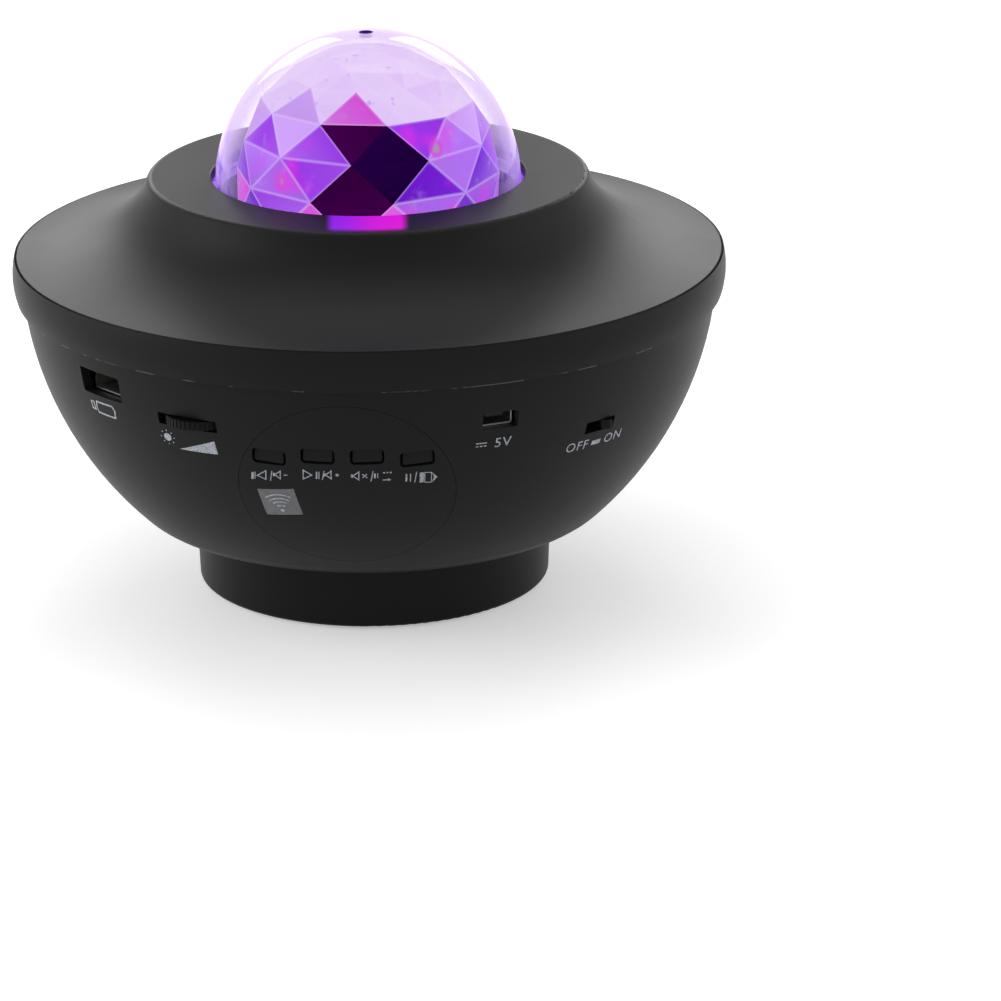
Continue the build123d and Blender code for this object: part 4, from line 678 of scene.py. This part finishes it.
def on_skin(pieces, name, azimuth, height, turn):
    """Joins strokes, wraps them on the bowl and gives them the thickness of ink."""
    made = join(pieces, name)
    made.matrix_world = skin_matrix(azimuth, height * MM, turn)
    settle(made)
    bpy.ops.object.mode_set(mode="EDIT")
    bpy.ops.mesh.select_all(action="SELECT")
    bpy.ops.mesh.quads_convert_to_tris(quad_method="BEAUTY", ngon_method="BEAUTY")
    bpy.ops.mesh.subdivide(number_cuts=2)
    bpy.ops.object.mode_set(mode="OBJECT")
    centre = bpy.data.objects.new("bowl_centre", None)
    centre.location = BOWL_CENTRE
    bpy.context.scene.collection.objects.link(centre)
    bpy.context.view_layer.update()
    wrap = made.modifiers.new("wrap", "CAST")
    wrap.cast_type = "SPHERE"
    wrap.factor = 1.0
    wrap.radius = 0.0
    wrap.use_radius_as_size = False
    wrap.size = BOWL_RADIUS + PRINT_GAP
    wrap.object = centre
    ink = made.modifiers.new("ink", "SOLIDIFY")
    ink.thickness = settings().printing.thickness
    ink.offset = 1.0
    finish_modifiers(made)
    bpy.data.objects.remove(centre)
    belong(made, bpy.data.materials["print_ink"])
    return made


# ---------------------------------------------------------------- operators
class PROJECTOR_OT_casing(bpy.types.Operator):
    """Finishes the casing, the control panel, the buttons, the base and its feet"""
    bl_idname = "projector.casing"
    bl_label = "Casing"

    def execute(self, context):
        dress(satin_plastic("satin_plastic_lit", with_spill=True), "top_shell")
        dress(satin_plastic("satin_plastic"), "bowl_shell", "control_panel", "button_previous",
              "button_next", "button_mute", "button_mode")
        dress(moulded_plastic("base_plastic", (0.016, 0.016, 0.017), roughness=0.5, gloss=0.2), "base_cover")
        dress(moulded_plastic("control_plastic", (0.003, 0.003, 0.004), roughness=0.45, gloss=0.12),
              "dimmer_wheel", "switch_knob")
        dress(moulded_plastic("foot_rubber", (0.03, 0.03, 0.03), roughness=0.85, gloss=0.1, grain=0.6),
              "rubber_feet")
        dress(infrared_plastic("infrared_plastic"), "ir_window")
        return {"FINISHED"}


class PROJECTOR_OT_sockets(bpy.types.Operator):
    """Finishes the memory stick socket and the power inlet"""
    bl_idname = "projector.sockets"
    bl_label = "Sockets"

    def execute(self, context):
        dress(metal("tinned_steel", (0.62, 0.62, 0.61), roughness=0.26, brush=(1.0, 1.0, 0.2)),
              "usb_a_shell", "mini_usb_shell")
        dress(moulded_plastic("socket_plastic", (0.010, 0.008, 0.007), roughness=0.4, gloss=0.3),
              "usb_a_tongue", "mini_usb_tongue")
        dress(metal("gold_plate", (0.85, 0.60, 0.24), roughness=0.22), "usb_a_contacts")
        return {"FINISHED"}


class PROJECTOR_OT_works(bpy.types.Operator):
    """Finishes what the casing holds: light engine, lens drive, speaker, boards and leads"""
    bl_idname = "projector.works"
    bl_label = "Works"

    def execute(self, context):
        dress(moulded_plastic("inner_plastic", (0.010, 0.010, 0.011), roughness=0.5, gloss=0.25),
              "dome_retainer", "lens_deck", "dimmer_body", "switch_body", "button_switches", "board_chips",
              "ir_receiver")
        dress(metal("zinc_screws", (0.55, 0.55, 0.57), roughness=0.3), "base_screws", "dome_screws",
              "deck_screws", "motor_screws", "led_screws", "board_screws", "speaker_screws")
        dress(metal("pressed_steel", (0.48, 0.48, 0.49), roughness=0.36, brush=(1.0, 1.0, 0.15)),
              "lens_motor", "motor_shaft", "speaker_frame", "speaker_magnet")
        dress(metal("plain_aluminium", (0.74, 0.75, 0.76), roughness=0.32, brush=(0.2, 1.0, 1.0)),
              "heat_sink", "capacitors", "microphone")
        dress(metal("turned_brass", (0.78, 0.57, 0.27), roughness=0.28), "laser_barrel")
        dress(moulded_plastic("natural_plastic", (0.62, 0.61, 0.57), roughness=0.45, gloss=0.4),
              "motor_pinion", "plunger_previous", "plunger_next", "plunger_mute", "plunger_mode",
              "lead_plugs", "usb_a_stand")
        dress(solder_mask("board_green", (0.012, 0.085, 0.035)), "main_board", "button_board")
        dress(solder_mask("board_white", (0.60, 0.60, 0.58)), "led_board")
        dress(glowing_phosphor("led_phosphor"), "led_emitters")
        dress(crystal("ripple_plastic", (0.86, 0.80, 0.98), roughness=0.08), "ripple_lens")
        dress(crystal("laser_glass", (0.95, 0.95, 1.0), roughness=0.02), "laser_lens", "grating_disc")
        dress(moulded_plastic("cone_paper", (0.03, 0.03, 0.03), roughness=0.9, gloss=0.05, grain=0.8),
              "speaker_cone")
        dress(moulded_plastic("surround_foam", (0.02, 0.02, 0.02), roughness=0.95, gloss=0.05, grain=0.5),
              "speaker_surround")
        dress(moulded_plastic("lead_sleeve", (0.36, 0.02, 0.02), roughness=0.4, gloss=0.4),
              "speaker_lead", "motor_lead", "light_leads", "button_lead")
        return {"FINISHED"}


class PROJECTOR_OT_dome(bpy.types.Operator):
    """Finishes the crystal dome and adds the lit facets of its cavity"""
    bl_idname = "projector.dome"
    bl_label = "Crystal dome"

    def execute(self, context):
        dress(dome_glass("dome_glass"), "crystal_dome")
        facets = self.rings()
        self.colours(facets)
        self.edges(facets)
        belong(facets, lit_facets("lit_facets"))
        return {"FINISHED"}

    def rings(self):
        """Rings of staggered triangles: a ring of edges is drawn upwards and turned half a side."""
        deselect()
        radius = FACET_RADIUS - FACET_GAP
        levels = [math.radians(FIRST_RING + RING_STEP * ring) for ring in range(-1, RING_COUNT)]
        widths = [radius * math.cos(max(level, levels[1])) for level in levels]
        heights = [radius * math.sin(level) for level in levels]
        bpy.ops.mesh.primitive_circle_add(vertices=FACET_SIDES, radius=widths[0])
        made = bpy.context.active_object
        made.name = "dome_facets"
        made.rotation_euler.z = math.radians(DOME_TURN) + math.pi / FACET_SIDES
        made.location = FACET_CENTRE + Vector((0.0, 0.0, heights[0]))
        settle(made)
        bpy.ops.object.mode_set(mode="EDIT")
        bpy.ops.mesh.select_all(action="SELECT")
        for below in range(RING_COUNT):
            centre = FACET_CENTRE + Vector((0.0, 0.0, heights[below + 1]))
            rise = heights[below + 1] - heights[below]
            shrink = widths[below + 1] / widths[below]
            bpy.ops.mesh.extrude_region_move(TRANSFORM_OT_translate={"value": (0.0, 0.0, rise)})
            bpy.ops.transform.resize(value=(shrink, shrink, 1.0), center_override=centre)
            bpy.ops.transform.rotate(value=math.pi / FACET_SIDES, orient_axis="Z", center_override=centre)
        bpy.ops.mesh.extrude_region_move(TRANSFORM_OT_translate={"value": (0.0, 0.0, radius - heights[-1])})
        bpy.ops.mesh.merge(type="CENTER")
        bpy.ops.mesh.select_all(action="SELECT")
        bpy.ops.mesh.quads_convert_to_tris(quad_method="SHORTEST_DIAGONAL")
        bpy.ops.mesh.select_all(action="SELECT")
        bpy.ops.mesh.normals_make_consistent(inside=False)
        self.sort_facets()
        bpy.ops.object.mode_set(mode="OBJECT")
        return made

    def sort_facets(self):
        """Sorts by place what the tools leave in another order on each run."""
        cursor = bpy.context.scene.cursor
        cursor.location = SORTING_POINT
        bpy.ops.mesh.sort_elements(type="CURSOR_DISTANCE", elements={"VERT", "EDGE", "FACE"})
        cursor.location = (0.0, 0.0, 0.0)

    def letter(self, face):
        """The facet's letter in FACET_TONES, by the ring it stands on and its place round it."""
        out = Vector(face.center) - FACET_CENTRE
        latitude = math.degrees(math.atan2(out.z, math.hypot(out.x, out.y)))
        ring = min(RING_COUNT, max(0, int((latitude - FIRST_RING) // RING_STEP) + 1))
        azimuth = math.degrees(math.atan2(out.x, -out.y))
        place = round((azimuth - DOME_TURN + 180.0 / FACET_SIDES) / (180.0 / FACET_SIDES))
        letters = FACET_TONES[ring]
        return letters[(place + len(letters) // 2) % len(letters)]

    def colours(self, made):
        """Each facet's colour of painted light, which drifts from corner to corner."""
        choice = settings().dome
        pale = Vector(choice.lavender)
        tones = {"v": choice.violet, "d": choice.deep, "m": choice.magenta, "a": choice.pale,
                 "l": choice.lavender, "p": choice.plum, "k": choice.dark, "w": choice.white}
        mesh = made.data
        glow = mesh.attributes.new("glow", "FLOAT_COLOR", "CORNER")
        clear = mesh.attributes.new("clear", "FLOAT", "FACE")
        lit = mesh.attributes.new("lit", "FLOAT", "FACE")
        chance = random.Random(7)
        for face in mesh.polygons:
            letter = self.letter(face)
            tone = Vector(tones[letter])
            clear.data[face.index].value = 1.0 if letter == "w" else 0.0
            lit.data[face.index].value = 0.0 if letter in "pk" else 1.0
            for corner in face.loop_indices:
                # The plum facets are painted dark where the laser barrel shows through.
                if letter in "pk":
                    shade = tone * chance.uniform(0.7, 1.4)
                elif letter == "w":
                    shade = tone.lerp(pale, chance.uniform(0.0, 0.3))
                else:
                    shade = tone.lerp(pale, chance.uniform(0.0, 0.62) ** 2) * chance.uniform(0.8, 1.1)
                glow.data[corner].color = (*shade, 1.0)

    def edges(self, made):
        """Insets every facet, so that its edge can fade into the ridge beside it."""
        choose(made)
        bpy.ops.object.mode_set(mode="EDIT")
        bpy.ops.mesh.select_all(action="SELECT")
        bpy.ops.mesh.inset(use_individual=True, thickness=settings().dome.ridge)
        bpy.ops.object.mode_set(mode="OBJECT")
        mesh = made.data
        ridge = mesh.attributes.new("ridge", "FLOAT", "POINT")
        for vertex in mesh.vertices:
            ridge.data[vertex.index].value = 0.0 if vertex.select else 1.0


class PROJECTOR_OT_symbols(bpy.types.Operator):
    """Prints the symbols beside the sockets, the dimmer, the buttons and the switch"""
    bl_idname = "projector.symbols"
    bl_label = "Printed symbols"

    def execute(self, context):
        print_ink("print_ink")
        self.memory_stick()
        self.brightness()
        self.tracks()
        self.power()
        self.signal()
        return {"FINISHED"}

    def memory_stick(self):
        body = shape(((-3.3, 1.85), (2.7, 1.95), (3.5, 0.7), (3.0, -1.5), (-3.4, -1.45), (-3.8, 0.1)))
        plug = shape(((-5.6, 1.4), (-4.2, 1.5), (-4.0, -1.0), (-5.6, -0.8)))
        on_skin([outlined(body, 0.42), outlined(plug, 0.40)], "symbol_memory_stick", *STICK_PLACE)

    def brightness(self):
        rays = [patch(8, 0.17, SUN_RAY_REACH * math.cos(turn), SUN_RAY_REACH * math.sin(turn))
                for turn in (math.pi / 4 * step for step in range(8))]
        disc = patch(24, 1.02, 0.0, 0.0)
        on_skin([disc] + rays, "symbol_sun", *SUN_PLACE)
        on_skin([shape(((-5.7, -1.36), (4.5, -1.1), (4.25, 2.5)))], "symbol_wedge", *WEDGE_PLACE)

    def tracks(self):
        """A row of outlined symbols on the panel, one group under each button."""
        back = [slant(-21.7, -1.45, -3.6, 0.6), slant(-21.05, -1.2, -3.4, THIN_STROKE)]
        back += [outlined(shape(((-20.7, -2.3), (-18.0, -0.1), (-18.2, -3.2))))]
        back += [slant(-17.15, -0.1, -3.2, THIN_STROKE, 0.5)] + self.horn(-15.4, -1.1, 2.9)
        back += [bar(0.85, 0.26, -13.4, -0.85, 9.0)]
        ahead = [outlined(shape(((-9.25, 1.4), (-9.4, -1.7), (-7.0, -0.1))))]
        ahead += [slant(-6.2, 1.0, -1.1, 0.36), slant(-5.65, 1.0, -1.1, 0.22)]
        ahead += [slant(-4.85, 1.3, -1.3, THIN_STROKE, 0.5)] + self.horn(-3.5, 0.2, 2.8)
        ahead += [bar(0.85, 0.34, -1.45, 0.25, 3.0), bar(0.34, 0.8, -1.45, 0.25, 3.0)]
        mute = self.horn(2.7, 0.0, 2.9)
        mute += [bar(0.26, 1.5, 4.75, -0.05, turn) for turn in (45.0, -45.0)]
        mute += [slant(6.1, 1.3, -1.7, THIN_STROKE, 0.6)]
        mute += [bar(0.42, 1.4, 7.05, -0.1), bar(0.22, 1.4, 7.7, -0.1)]
        mute += [bar(0.45, 0.36, 9.2, 0.7), bar(0.34, 0.36, 9.95, 0.68), bar(0.45, 0.36, 10.7, 0.62)]
        mute += [bar(1.1, 0.26, 9.3, -1.45), patch(3, 0.5, 10.2, -1.45)]
        mode = [slant(14.15, -0.25, -2.5, 0.4), slant(15.1, -0.3, -2.65, 0.26)]
        mode += [slant(16.1, 0.1, -3.0, THIN_STROKE, 0.6), slant(17.75, -0.3, -3.3, 1.0)]
        mode += [outlined(shape(((18.5, -0.3), (20.3, -0.6), (20.2, -3.8), (18.4, -3.5))), 0.2)]
        mode += [shape(((20.3, -0.6), (21.6, -2.3), (20.2, -3.8), (20.8, -2.2)))]
        for name, strokes in (("back", back), ("ahead", ahead), ("mute", mute), ("mode", mode)):
            on_skin(strokes, "symbol_" + name, *BUTTON_PRINT_PLACE)

    def horn(self, x, y, height):
        """A small solid block with an outlined horn that opens to the right."""
        block = bar(height * 0.16, height * 0.34, x - height * 0.28, y)
        half = height / 2
        flare = shape(((x - half * 0.55, y), (x + half * 0.62, y + half), (x + half * 0.55, y - half)))
        return [block, outlined(flare)]

    def power(self):
        """The direct current sign with its voltage, and the words of the slide switch."""
        dashes = [bar(0.62, 0.3, -3.6 + step * 0.95, -0.35) for step in (-1, 0, 1)]
        on_skin([bar(2.6, 0.3, -3.6, 0.45), *dashes, words("5V", LETTER_HEIGHT, 1.6, 0.0)],
                "symbol_inlet", *INLET_PRINT_PLACE)
        on_skin([words("OFF", LETTER_HEIGHT, -5.6, 0.0), patch(4, 0.7, 0.1, 0.0, 45.0, (2.7, 1.2)),
                 words("ON", LETTER_HEIGHT, 5.6, 0.0)], "symbol_switch", *SWITCH_PRINT_PLACE)

    def signal(self):
        """Arcs and a dot on the infrared window."""
        arcs = [arc(radius, 0.42, 0.0, -2.6, math.radians(36.0)) for radius in SIGNAL_RADII]
        on_skin(arcs + [patch(16, 0.5, 0.0, -2.5)], "symbol_signal", *SIGNAL_PLACE)


class PROJECTOR_OT_studio(bpy.types.Operator):
    """Adds the floor, the lamps, the world and the camera"""
    bl_idname = "projector.studio"
    bl_label = "Studio"

    def execute(self, context):
        self.world(context)
        self.floor()
        self.lamps()
        self.camera(context)
        context.scene.view_settings.view_transform = "Standard"
        return {"FINISHED"}

    def seen_rays(self, shader):
        """1 for the rays that look at the background: camera, glossy and transmission."""
        path = shader.node("ShaderNodeLightPath")
        outputs = path.socket.node.outputs
        seen = [Socket(shader, outputs[name])
                for name in ("Is Camera Ray", "Is Glossy Ray", "Is Transmission Ray")]
        return shader.maths("MAXIMUM", shader.maths("MAXIMUM", seen[0], seen[1]), seen[2])

    def world(self, context):
        world = bpy.data.worlds.new("studio_world")
        world.use_nodes = True
        shader = Shader(world.node_tree)
        light = settings().studio.world_light
        seen = self.seen_rays(shader)
        background = shader.node("ShaderNodeBackground",
                                 sockets={"Color": with_alpha(WHITE),
                                          "Strength": light + seen * (1.0 - light)})
        shader.node("ShaderNodeOutputWorld", sockets={"Surface": background})
        context.scene.world = world

    def floor(self):
        choice = settings().studio
        deselect()
        bpy.ops.mesh.primitive_plane_add(size=choice.floor_size)
        floor = bpy.context.active_object
        floor.name = "studio_floor"
        made, shader = material("studio_floor")
        seen = self.seen_rays(shader)
        diffuse = shader.node("ShaderNodeBsdfDiffuse",
                              sockets={"Color": with_alpha(tuple(choice.floor_colour))})
        lift = shader.node("ShaderNodeEmission", sockets={"Strength": seen * choice.floor_lift})
        both = shader.node("ShaderNodeAddShader", sockets={0: diffuse, 1: lift})
        shader.node("ShaderNodeOutputMaterial", sockets={"Surface": both})
        floor.data.materials.append(made)
        floor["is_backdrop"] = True

    def lamps(self):
        choice = settings().studio
        for name, place, size, power in (
                ("lamp_left", (-0.85, -0.10, 0.42), 0.7, choice.left_light),
                ("lamp_right", (0.85, -0.10, 0.42), 0.7, choice.right_light),
                ("lamp_back_left", (-0.35, 1.05, 0.50), 0.4, choice.back_light),
                ("lamp_back_right", (0.35, 1.05, 0.50), 0.4, choice.back_light),
                ("lamp_top", (0.0, 0.25, 1.1), 0.9, choice.top_light)):
            self.lamp(name, place, size, power)

    def lamp(self, name, place, size, power):
        """A square lamp that faces the projector; place and size in metres."""
        made = bpy.data.lights.new(name, "AREA")
        made.shape = "SQUARE"
        made.size = size
        made.energy = power
        lamp = bpy.data.objects.new(name, made)
        lamp.location = place
        aim = LAMP_TARGET - Vector(place)
        lamp.rotation_euler = aim.to_track_quat("-Z", "Y").to_euler()
        bpy.context.scene.collection.objects.link(lamp)

    def camera(self, context):
        choice = settings().studio
        rise = choice.elevation
        ahead = Vector((0.0, math.cos(rise), -math.sin(rise)))
        right = Vector((1.0, 0.0, 0.0))
        up = right.cross(ahead)
        yaw = Matrix.Rotation(choice.yaw, 3, up)
        ahead, right = yaw @ ahead, yaw @ right
        pitch = Matrix.Rotation(choice.pitch, 3, right)
        ahead, up = pitch @ ahead, pitch @ up
        roll = Matrix.Rotation(choice.roll, 3, ahead)
        up, right = roll @ up, roll @ right
        lens = bpy.data.cameras.new("studio_camera")
        lens.lens = choice.lens
        lens.sensor_width = 36.0
        lens.clip_end = 50.0
        camera = bpy.data.objects.new("studio_camera", lens)
        turn = Matrix((right, up, -ahead)).transposed().to_4x4()
        spot = Vector((0.0, -math.cos(rise), math.sin(rise))) * choice.distance
        camera.matrix_world = Matrix.Translation(spot) @ turn
        context.scene.collection.objects.link(camera)
        context.scene.camera = camera


class PROJECTOR_PT_panel(bpy.types.Panel):
    """Lists the steps that dress the projector"""
    bl_label = "Star projector"
    bl_idname = "PROJECTOR_PT_panel"
    bl_space_type = "VIEW_3D"
    bl_region_type = "UI"
    bl_category = "Star projector"

    def draw(self, context):
        for operator in STEPS:
            self.layout.operator(operator.bl_idname)


GROUPS = (PROJECTOR_PG_casing, PROJECTOR_PG_dome, PROJECTOR_PG_print, PROJECTOR_PG_studio,
          PROJECTOR_PG_settings)
STEPS = (PROJECTOR_OT_studio, PROJECTOR_OT_casing, PROJECTOR_OT_sockets, PROJECTOR_OT_works,
         PROJECTOR_OT_dome, PROJECTOR_OT_symbols)


def register():
    for group in GROUPS + STEPS + (PROJECTOR_PT_panel,):
        bpy.utils.register_class(group)
    bpy.types.Scene.star_projector = PointerProperty(type=PROJECTOR_PG_settings)


def unregister():
    del bpy.types.Scene.star_projector
    for group in reversed(GROUPS + STEPS + (PROJECTOR_PT_panel,)):
        bpy.utils.unregister_class(group)


def corners(bounds):
    return [list(corner) for corner in bounds]


def main():
    register()
    bpy.ops.projector.studio()
    bpy.ops.projector.casing()
    bpy.ops.projector.sockets()
    bpy.ops.projector.works()
    bpy.ops.projector.dome()
    bpy.ops.projector.symbols()
    {"cad": corners(CAD_BOUNDS), "visual": corners(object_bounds())}


if __name__ == "__main__":
    main()
